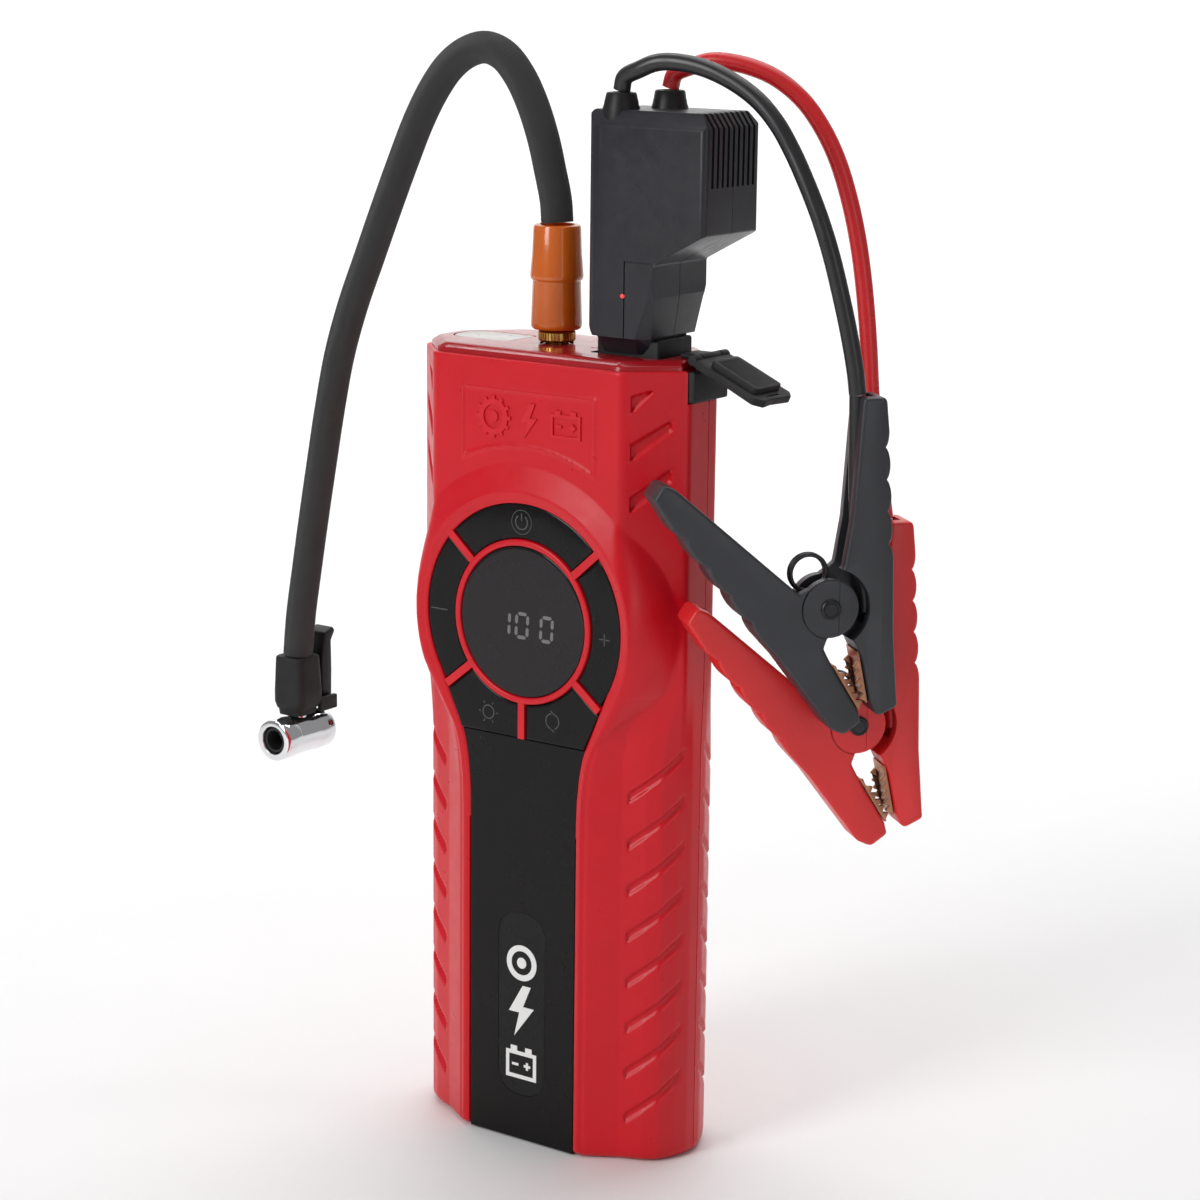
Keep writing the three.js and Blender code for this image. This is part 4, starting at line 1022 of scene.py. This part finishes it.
def badge_marks():
    """Plain pictograms in white: a tyre, a bolt and a battery, one over the other."""
    low, high = -22.55, -22.4
    made = []
    tyre = lathe("badge_print", [(3.7, low), (5.5, low), (5.5, high), (3.7, high)], 72, (0, 0, 56), "y")
    made.append(lathe("tool", [(0, low), (1.7, low), (1.7, high), (0, high)], 40, (0, 0, 56), "y"))
    bolt = np.array([[0.4, 49], [-4.6, 40.4], [-0.8, 40.4], [-2.6, 32.8], [4.6, 42.4], [0.6, 42.4],
                     [3.4, 49]])
    made.append(slab("tool", bolt, low, high, axis="y"))
    for a, b in (((-5.6, 20.2), (5.6, 20.2)), ((-5.6, 27.6), (5.6, 27.6)), ((-5.0, 20.8), (-5.0, 27)),
                 ((5.0, 20.8), (5.0, 27))):
        made.append(bar("tool", a, b, 1.2, low, high))
    made += [bar("tool", (-3.9, 28.95), (-1.5, 28.95), 1.5, low, high),
             bar("tool", (1.5, 28.95), (3.9, 28.95), 1.5, low, high),
             bar("tool", (-3.4, 23.9), (-1.0, 23.9), 0.8, low, high),
             bar("tool", (1.0, 23.9), (3.4, 23.9), 0.8, low, high),
             bar("tool", (2.2, 24.3), (2.2, 25.1), 0.8, low, high),
             bar("tool", (2.2, 22.7), (2.2, 23.5), 0.8, low, high)]
    return together(tyre, *made)


piece(badge_marks(), "pack", WHITE)


# ---- Torch, socket, flap and port cover ----
lens_outline = rounded([[-40.3, -7.3, 7], [-18.3, -7.3, 1.4], [-18.3, 7.3, 1.4], [-40.3, 7.3, 7]], 12)
lens = stack("torch_glass", lens_outline, [(0, 236.3), (0, 237.7), (0.15, 237.95), (0.5, 238.05),
                                           (1.4, 238.05),
                                           (1.7, 237.85), (2.0, 237.8)])
piece(lens, "pack", LENS, ["torch_lens"], 40)


def wire(name, points, radius, sides=14, closed=False):
    """A tube mesh along points, capped unless it closes on itself."""
    line = np.array(points, float)
    count = len(line)
    ahead = np.roll(line, -1, 0) - np.roll(line, 1, 0) if closed else np.gradient(line, axis=0)
    ahead /= np.linalg.norm(ahead, axis=1)[:, None]
    side = np.cross(ahead[0], (0.13, 1, 0.21))
    rings = []
    for i in range(count):
        side = side - ahead[i] * (side @ ahead[i])
        side /= np.linalg.norm(side)
        other = np.cross(ahead[i], side)
        turn = np.arange(sides) * 2 * math.pi / sides
        rings.append(line[i] + radius * (np.cos(turn)[:, None] * side + np.sin(turn)[:, None] * other))
    faces = loft_faces(count, sides)
    if closed:
        gaps = [np.linalg.norm(np.roll(rings[0], -k, 0) - rings[-1], axis=1).sum() for k in range(sides)]
        shift, last = int(np.argmin(gaps)), (count - 1) * sides
        faces[-2:] = [(last + j, last + (j + 1) % sides, (j + 1 + shift) % sides, (j + shift) % sides)
                      for j in range(sides)]
    return mesh_object(name, np.concatenate(rings), faces)


def hull(name, corners):
    tool = bmesh.new()
    for corner in corners:
        tool.verts.new([c * MM for c in corner])
    bmesh.ops.convex_hull(tool, input=tool.verts)
    mesh = bpy.data.meshes.new(name)
    tool.to_mesh(mesh)
    tool.free()
    return add_object(name, mesh)


FLAP_TURN = (Matrix.Translation([v * MM for v in FLAP_PIVOT])
             @ Matrix.Rotation(math.radians(FLAP_TILT), 4, "Y"))
strap = union(cuboid("hinge_strap", (45.9, -8.7, 226.3), (48.4, 8.7, 235.2), 0.7),
              cuboid("tool", (45.9, -4.5, 234), (48.6, 4.5, 238), 0.5),
              slab("tool", circle(1.5, 32, FLAP_PIVOT[0], FLAP_PIVOT[2]), -4.5, 4.5, 0.3, "y"),
              cuboid("tool", (40.5, -4.4, 238.05), (47.4, 4.4, 239.5), 0.5))
piece(strap, "pack", RUBBER, ["flap_strap"], 40)
flap_outline = rounded([[0.6, -8.8, 1.5], [6, -9.1, 2], [9, -8.3, 2], [22.5, -9, 1.4], [24.9, -6.2, 1.2],
                        [24.4, -2, 1], [25, 6.8, 1.5], [23, 9, 1.2], [9, 8.5, 2], [6, 9.1, 2],
                        [0.6, 8.8, 1.5]], 5)
flap = slab("flap_plate", flap_outline, -1.4, 0.8, 0.35)
bung_outline = rounded([[4.6, -6.6, 1.6], [21.2, -6.6, 1.6], [21.2, 6.6, 1.6], [4.6, 6.6, 1.6]], 5)
union(flap, slab("tool", bung_outline, 0, 2.5, 0.3, both=False),
      *[union(slab("tool", circle(1.5, 28), a, b, 0.25, "y"), cuboid("t", (0, a, -1.2), (4.4, b, 0.7), 0.2))
        for a, b in ((-8.7, -4.9), (4.9, 8.7))])
cut(flap, slab("tool", inset(bung_outline, 1.3), 1.3, 4), slab("tool", rounded(
    [[22.6, -3, 0.3], [23.2, -3, 0.3], [23.2, 3, 0.3], [22.6, 3, 0.3]], 2), 0.45, 2),
    *[cuboid("tool", (4.6 + 2 * i, -5, -2), (5.3 + 2 * i, 5, -1.1)) for i in range(8)])
union(flap, *[cuboid("tool", (x, -5.7, 0.5), (x + 0.8, 5.7, 1.9)) for x in (9, 12.6, 16.2)],
      slab("tool", circle(0.62, 20), -8, 8, 0.1, "y"))
flap.data.transform(FLAP_TURN)
piece(flap, "socket_flap", RUBBER, ["socket_flap"], 40)

cover = cuboid("side_cover", (-47.45, -4.65, 188.4), (-45.9, 4.65, 219.6), 0.5)
cover_grip = cuboid("tool", (-47.9, -2.2, 216.6), (-46.8, 2.2, 217.9), 0.4)
union(cover, cover_grip, cuboid("tool", (-46.2, -3.1, 192), (-45, 3.1, 217), 0.3))
piece(cover, "port_cover", RUBBER, ["port_cover"], 40)

# ---- Hose fittings ----
nut_outline = []
for tooth in range(34):
    for share, radius in ((-0.3, 5.05), (-0.16, 5.42), (0.16, 5.42), (0.3, 5.05)):
        turn = 2 * math.pi * (tooth + share) / 34
        nut_outline.append([NUT_X + radius * math.cos(turn), radius * math.sin(turn)])
nut = stack("nut_knurled", np.array(nut_outline), [(0.5, 238.45), (0.1, 238.9), (0, 239.1), (0, 241.2),
                                                   (0.3, 241.6),
                                                   (0.5, 241.7)])
cut(nut, slab("tool", circle(4.5, 48, NUT_X, 0), 238, 243))
piece(nut, "hose_nut", BRASS, ["hose_nut"], 25)

sleeve_profile = [(2.6, 242.1), (6.7, 242.1), (7.15, 242.4), (7.4, 243.0), (7.45, 244), (7.0, 255.7),
                  (7.05, 256.1),
                  (7.5, 256.5), (7.72, 257.0), (7.72, 257.9), (7.2, 264), (6.9, 271.2), (6.7, 271.9),
                  (6.2, 272.2),
                  (5.2, 272.2), (4.9, 271.5), (4.9, 262), (2.6, 261.5)]
sleeve = lathe("sleeve_orange", sleeve_profile, 96, (NUT_X - 0.2, 0, 0))
piece(sleeve, "hose", SLEEVE, ["hose_sleeve"], 40)


def grip():
    """The rubber boot of the chuck: broad and faceted, with a collar and the lever's two ears."""
    x = CHUCK_X
    layers = []
    for z, half_x, half_y, shift in ((110.8, 4.5, 4.9, 0), (112.6, 4.7, 5.1, 0), (112.9, 5.2, 5.5, 0.2),
                                     (114.8, 5.9, 5.9, 0.3), (118.5, 5.9, 5.9, 0.3), (127.5, 5.5, 5.6, 0.2),
                                     (129.1, 5.4, 5.5, 0.1), (129.6, 5.1, 5.2, 0.1)):
        layers.append((z, rounded([[x - half_x, -half_y + shift, 2.6], [x + half_x, -half_y + shift, 2.6],
                                   [x + half_x, half_y + shift, 2.6], [x - half_x, half_y + shift, 2.6]], 6)))
    count = len(layers[0][1])
    points = np.concatenate([np.c_[outline, np.full(count, z)] for z, outline in layers])
    made = mesh_object("chuck_boot", points, loft_faces(len(layers), count))
    ears = [cuboid("tool", (x + a, 4.6, 110.9), (x + a + 1.7, 12.5, 115.4), 0.4) for a in (-5.9, 4.2)]
    return union(made, *ears)


piece(grip(), "hose", RUBBER, ["chuck_grip"], 35)
barrel_profile = [(4.35, 0.5), (4.6, 0.1), (5.9, 0), (6.35, 0.25), (6.6, 0.8), (6.6, 6.6), (6.5, 6.95),
                  (6.35, 7.1),
                  (6.35, 16.4), (6.4, 16.8), (6.5, 17), (6.5, 22.4), (6.3, 23.2), (5.7, 23.85), (4.7, 24.0)]
chuck_turn = Matrix.Translation((CHUCK_X * MM, -0.012, CHUCK_Z * MM)) @ Matrix.Rotation(-math.pi / 2, 4, "X")
barrel = lathe("chuck_tube", [(0, 24.0), *barrel_profile[::-1], (4.2, 15), (0, 15)], 72, matrix=chuck_turn)
neck = lathe("tool", [(0, 4.4), (2.9, 4.4), (2.9, 6.3), (0, 6.3)], 40, (CHUCK_X, 0, CHUCK_Z))
union(barrel, neck)
pin_hole = wire("tool", [(CHUCK_X + 5.0, 9.0, 106.1), (CHUCK_X + 8.0, 9.0, 107.5)], 1.15, 20)
cut(barrel, pin_hole)
piece(barrel, "hose", CHROME, ["chuck_barrel"], 35)
ball = lathe("chuck_ball", [(0, -0.95), (0.5, -0.8), (0.85, -0.4), (0.95, 0), (0.85, 0.4), (0.5, 0.8),
                            (0, 0.95)][::-1],
             24, (CHUCK_X + 5.3, 9.0, 106.3))
piece(ball, "hose", LAMP_DULL, (), 60)
seal = lathe("chuck_washer", [(3.2, 0.9), (3.9, 0.9), (3.95, 1.2), (3.95, 6.8), (3.2, 6.8)], 48,
             matrix=chuck_turn)
piece(seal, "hose", RUBBER, ["chuck_seal"], 35)
lever_outline = rounded([[9.2, 111.7, 0.8], [12.4, 111.7, 0.8], [12.7, 123, 1], [12.5, 132.6, 1],
                         [14.4, 135.6, 0.9],
                         [13.4, 136.9, 0.7], [9.2, 135.6, 1], [7.9, 127, 1], [7.9, 117, 1]], 5)
lever = slab("lever_black", lever_outline, CHUCK_X - 3.55, CHUCK_X + 3.55, 0.5, "x")
cut(lever, *[cuboid("tool", (CHUCK_X - 3, 12.4, 119 + 2.2 * i), (CHUCK_X + 3, 14, 119.9 + 2.2 * i))
             for i in range(7)])
piece(lever, "chuck_lever", SATIN, ["chuck_lever"], 35)

# ---- Smart plug ----
side_outline = rounded([[16.4, 243.4, 0.5], [35.2, 243.4, 0.5], [37, 255, 2], [37, 264.4, 1.2],
                        [54, 273.4, 0.9],
                        [54.2, 302.4, 0.8], [51.4, 306.4, 0.8], [15.4, 306.4, 1.5], [13.1, 303.4, 1.5],
                        [13, 247.4, 1.5]], 5)
end_outline = rounded([[-PLUG_HALF, 238], [PLUG_HALF, 238], [PLUG_HALF, 301.8, 0.8], [11.2, 306.5, 0.8],
                       [-11.2, 306.5, 0.8], [-PLUG_HALF, 301.8, 0.8]], 5)
plan_outline = rounded([[13, -PLUG_HALF, 6.5], [54.2, -PLUG_HALF, 2.2], [54.2, PLUG_HALF, 2.2],
                        [13, PLUG_HALF, 6.5]],
                       12)


def plug_half(name, low, high):
    body = slab(name, side_outline, low, high, axis="y")
    boolean(body, [slab("tool", plan_outline, 240, 310)], "INTERSECT")
    boolean(body, [slab("tool", end_outline, 10, 60, axis="x")], "INTERSECT")
    side = -1 if low < 0 else 1
    face = PLUG_HALF * side
    seam = high if side < 0 else low
    union(body, hull("tool", [(x, y, z) for x, y, z in (
        (17.2, seam, 243.9), (35.0, seam, 243.9), (17.2, 12.4 * side, 243.9), (30.6, 12.4 * side, 243.9),
        (34.8, 7.6 * side, 243.9), (18.4, seam, 238.7), (34.0, seam, 238.7), (18.4, 9.6 * side, 238.7),
        (29.6, 9.6 * side, 238.7), (34.0, 6.4 * side, 238.7))]))
    corners = [(36.2, face, 256.5), (31.0, face, 243), (39, face, 243), (39, face - 5.5 * side, 243),
               (39, face, 258),
               (36.2, face + side, 256.5), (31.0, face + side, 243), (39, face + side, 258),
               (39, face + side, 243)]
    cut(body, hull("tool", corners))
    groove_low, groove_high = sorted((face - 0.4 * side, face + side))
    cut(body, cuboid("tool", (27.35, groove_low, 242), (27.75, groove_high, 264.9)),
        cuboid("tool", (27.35, groove_low, 264.6), (36.3, groove_high, 265.0)))
    bevelled(body, 0.45, 3, 28)
    rise = np.array([[53.3, 286.2], [56, 286.2], [56, 309], [48.6, 309], [48.6, 305.6], [50.9, 305.6],
                     [53.3, 302.1]])
    for y in (-10.2 + 2.55 * i for i in range(9)):
        if low - 0.2 < y - 0.55 and y + 0.55 < high + 0.2 or abs(y) < 0.6:
            cut(body, slab("tool", rise, max(y - 0.55, low - 0.1), min(y + 0.55, high + 0.1), axis="y"))
    return body


piece(plug_half("plug_front", -PLUG_HALF, 0.05), "smart_plug", CHARCOAL, ["plug_shell_front"],
      14)
piece(plug_half("plug_rear", 0.25, PLUG_HALF), "smart_plug", CHARCOAL, ["plug_shell_rear"], 14)
lamp = lathe("plug_lamp", [(0, -13.1), (0.6, -13.1), (0.6, -13.62), (0.4, -13.75), (0, -13.78)][::-1], 24,
             (26.9, 0, 255.2), "y")
piece(lamp, "smart_plug", LAMP, (), 40)
foot = cuboid("plug_tongue", (14.95, -8.6, 222.2), (36.05, 8.6, 242.9), 0.8)
cut(foot, *[cuboid("tool", (x, -4, 221), (x + 5, 4, 232)) for x in (18.2, 27.4)])
piece(foot, "smart_plug", SATIN, ["plug_connector"], 35)
contacts = together(*[cuboid("tool", (x, -3, 217), (x + 4, 3, 232.2), 0.4) for x in (18.7, 27.9)])
contacts.name = "plug_pins"
piece(contacts, "smart_plug", BRASS, (), 35)


def boot(name, x, y, top, node_name):
    profile = [(0, 301.5), (5.7, 301.5), (5.5, 304.5), (5.2, 306.8), (4.9, 307.6), (4.75, 308.6), (4.6, 309),
               (4.3, top - 0.5), (4.0, top - 0.1), (3.5, top), (2.6, top), (2.55, top - 0.4), (0, top - 0.4)]
    return piece(lathe(name, profile, 48, (x, y, 0)), "smart_plug", SATIN, [node_name], 35)


boot("relief_black", 21.4, -7.2, 311.0, "boot_black")
boot("relief_red", 29.4, 5, 311.5, "boot_red")

# ---- Clamps, drawn about the pivot pin: X across, Z up, Y along the pin ----
TOP = 58.2


def waves(start, end, count, depth):
    """Finger grips: shallow hollows between rounded crests, cut to the right of the way from start to end."""
    a, b, _, left = between(start, end)
    hollow = [(t, 1 - math.sqrt(abs(math.cos(math.pi * count * t)) + 0.05) / 1.025)
              for t in np.linspace(0, 1, count * 12 + 1)]
    return [list(a + (b - a) * t - left * depth * share) for t, share in hollow]


FIXED = [[7.8, TOP, 1.6], [14.6, TOP, 1.8], *waves([15.6, 49], [18.0, 13], 4, 1.5), [18.6, -8, 6],
         [20.4, -28.6, 1.4], [14.6, -31.4, 1.8],
         [12.4, -27, 1], [9.9, -15, 3], [7.4, -9.6, 1.5], [3, -7.6], [-3, -6], [-6, 0], [-2, 7],
         [3.6, 11.4, 1.5],
         [5.6, 24, 3]]
MOVING = [[-50.8, 32, 1.6], [-48, 36.2, 1.8], [-44.4, 34.6, 1.5], [-9, 4.4], [-4, 6.5], [3, 6.2], [6, 1],
          [4.6, -5.4],
          [-0.6, -8.4, 1], [-1.6, -11.2, 1.5], [2.4, -18.8, 2], [9, -29.4, 1.2], [9.8, -32.6, 1.4],
          [5, -36, 2.2],
          [1, -34.2, 2.4], [-14, -14.2, 3],
          *waves([-20, -7.6], [-45.6, 24], 4, 1.5)]
FIXED_CHANNEL = [[0, 64], [11.6, 64], [12, 46], [12.8, 28], [14, 12], [12, -5], [-9, -7], [-9, 9], [3, 20]]
MOVING_CHANNEL = [[-46.6, 32.6], [-44, 40], [-8, 14], [9, 13], [12, -5], [-4, -6.5], [-20, -0.8], [-31, 12.6],
                  [-41, 24.6]]


def arm(name, outline, channel, lap_low, lap_high, front_hub):
    body = slab(name, rounded(outline, 5), -CLAMP_HALF, CLAMP_HALF, 1.0, "y")
    union(body, slab("tool", circle(HUB_R, 72), -CLAMP_HALF, CLAMP_HALF, 0.5, "y"))
    cut(body, slab("tool", circle(LAP_R, 72), lap_low, lap_high, axis="y"),
        slab("tool", circle(PIN_BORE, 32), -10, 10, axis="y"),
        slab("tool", np.array(channel, float), -2.7, 2.7, axis="y"))
    if front_hub:
        ring_cut = lathe("tool", [(8.0, -5.4), (8.5, -5.4), (8.5, -7), (8.0, -7)], 72, (0, 0, 0), "y")
        cut(body, ring_cut, cuboid("tool", (2.3, -7, -7.6), (2.5, -5.8, 7.6)))
    return body


def jaw(name, start, end, teeth, lead):
    """A folded copper strip with a row of teeth along each side."""
    a, b, along, across = between(start, end)
    length = np.linalg.norm(b - a)

    def at(u, v):
        return a + along * u + across * (v + 0.3)

    edge = [at(0, 0), at(length, 0), at(length, 0.8)]
    for i in range(teeth - 1, -1, -1):
        edge += [at(length * (i + 0.55) / teeth, 2.2), at(length * (i + 0.45) / teeth, 2.2),
                 at(length * i / teeth, 0.8)]
    sides = [slab(name if k == 0 else "tool", np.array(edge), low, low + 1.1, 0.0, "y") for k,
             low in enumerate((-4.5, 3.4))]
    base = slab("tool", np.array([at(-lead[0], 0), at(length + lead[1], 0), at(length + lead[1], 0.7),
                                  at(-lead[0], 0.7)]),
                -4.4, 4.4, 0.0, "y")
    return bevelled(union(sides[0], base, sides[1]), 0.12, 2, 30)


def spring(name):
    coil = []
    for k in range(150):
        turn = 2 * math.pi * k / 44
        coil.append((4.45 * math.cos(turn), -1.7 + 3.4 * k / 149, 4.45 * math.sin(turn)))
    made = wire(name, coil, 0.62, 10)
    loops = []
    for depth in (-0.75, 0.75):
        ring_line = [(-5 + 5.15 * math.cos(t), depth,
                      9.3 + 5.15 * math.sin(t)) for t in np.arange(56) * 2 * math.pi / 56]
        loops.append(wire("tool", ring_line, 0.62, 10, True))
    return together(made, *loops)


def clamp(colour, pivot, look, core):
    place = Matrix.Translation([v * MM for v in pivot]) @ Matrix.Rotation(CLAMP_YAW, 4, "Z")
    moving = colour + "_clamp_arm"

    def put(made, body, material_used, nodes, angle=32):
        made.data.transform(place)
        return piece(made, body, material_used, nodes, angle)

    put(arm(f"clamp_{colour}_handle", FIXED, FIXED_CHANNEL, -7, 0.25, False), "smart_plug", look,
        [f"{colour}_clamp_fixed_arm"])
    put(arm(f"clamp_{colour}_lever", MOVING, MOVING_CHANNEL, -0.25, 7, True), moving, look,
        [f"{colour}_clamp_moving_arm"])
    put(jaw(f"clamp_{colour}_teeth_a", (12.2, -26.6), (9.9, -15.4), 5, (0.6, 3)), "smart_plug",
        COPPER,
        [f"{colour}_clamp_fixed_jaw"])
    put(jaw(f"clamp_{colour}_teeth_b", (2.6, -19), (8.8, -29), 5, (2.5, 0.6)), moving, COPPER,
        [f"{colour}_clamp_moving_jaw"])
    pin = lathe(f"clamp_{colour}_pin", [(0, 6.95), (1.2, 6.9), (2.3, 6.75), (2.75, 6.45), (2.8, 6.15),
                                        (2.0, 6.15),
                                        (2.0, -6.15), (2.8, -6.15), (2.8, -6.5), (2.55, -6.8), (2.3, -6.9),
                                        (2.05, -6.75), (1.9, -6.75), (1.6, -6.95), (0, -6.98)], 48, axis="y")
    put(pin, "smart_plug", DARK_STEEL, [f"{colour}_clamp_rivet"], 30)
    put(spring(f"clamp_{colour}_spring"), "smart_plug", DARK_STEEL, [f"{colour}_clamp_spring"], 60)
    inner = through([(7.95, 0, 58.1), (8.1, 0, 50), (8.3, 0, 40), (8.6, 0, 30), (9.2, 0, 20), (10.6, 0, 9),
                     (12.4, 0, -2)], 6)
    put(wire(f"clamp_{colour}_core", inner, 2.3, 20), "smart_plug", core, (), 60)


clamp("black", BLACK_PIVOT, CLAMP_BLACK, CABLE_BLACK)
clamp("red", RED_PIVOT, CLAMP_RED, CABLE_RED)

# ---- Carried CAD nodes ----
for name, look in (("torch_reflector", CHROME), ("jump_socket", SATIN), ("usb_port_a", STEEL),
                   ("usb_port_c", STEEL),
                   ("main_board", BOARD), ("battery_cell_1", CELL), ("battery_cell_2", CELL),
                   ("case_screw_1", STEEL),
                   ("case_screw_2", STEEL), ("crank_gear", STEEL), ("motor_pinion", BRASS), ("motor", STEEL),
                   ("compressor_frame", STEEL), ("con_rod", STEEL), ("piston", STEEL), ("cylinder", STEEL),
                   ("air_outlet", BRASS)):
    refinish(name, look)


# ---- Stage ----
def lights():
    scene = bpy.context.scene
    scene.view_settings.view_transform = "Standard"
    world = bpy.data.worlds.new("studio")
    world.use_nodes = True
    world.node_tree.nodes["Background"].inputs["Color"].default_value = (1, 1, 1, 1)
    world.node_tree.nodes["Background"].inputs["Strength"].default_value = 0.3
    scene.world = world

    def area(name, place, aim, size, power, colour=(1, 1, 1)):
        data = bpy.data.lights.new(name, "AREA")
        data.shape, data.size, data.size_y = "RECTANGLE", size[0], size[1]
        data.energy, data.color = power, colour
        made = add_object(name, data)
        made.location = place
        made.rotation_euler = (Vector(aim) - Vector(place)).to_track_quat("-Z", "Y").to_euler()

    area("key", (-0.35, -1.3, 0.8), (0, 0, 0.15), (0.5, 0.9), 10.5)
    area("fill", (1.6, -0.7, 0.5), (0, 0, 0.15), (0.4, 1.0), 2.2)
    area("top", (0.1, 0.1, 1.6), (0, 0, 0.2), (0.9, 0.9), 5)
    area("wall", (-0.45, 0.75, 1.9), (-1.1, 1.7, 0.4), (2.4, 0.6), 33)


lights()
FLOOR = material("floor_pale", (0.86, 0.86, 0.86), 0.6, vary=0.01, blotch=3, grain=0.05)
floor = stack("floor", circle(6000, 96), [(0, -0.4), (0, -0.1)])
floor.data.materials.append(FLOOR)


def backdrop():
    """A seamless sweep behind the object: flat, one quarter turn, then upright."""
    bend = [(1.15 + 0.7 * math.sin(t), 0.7 - 0.7 * math.cos(t)) for t in np.linspace(0, math.pi / 2, 24)]
    line = [(0.95, 0.0), *bend, (1.85, 2.4), (1.9, 2.4), (1.9, -0.003), (0.95, -0.003)]
    points = [(side * 3000, d * 1000, h * 1000 - 0.05) for side in (-1, 1) for d, h in line]
    count = len(line)
    faces = [(i, (i + 1) % count, count + (i + 1) % count, count + i) for i in range(count)]
    faces += [tuple(range(count))[::-1], tuple(range(count, 2 * count))]
    made = mesh_object("backdrop", points, faces)
    made.data.transform(Matrix.Rotation(math.radians(35.3), 4, "Z"))
    for face in made.data.polygons:
        face.use_smooth = 0 < face.index < 24
    made.data.materials.append(FLOOR)
    return made


backdrop()
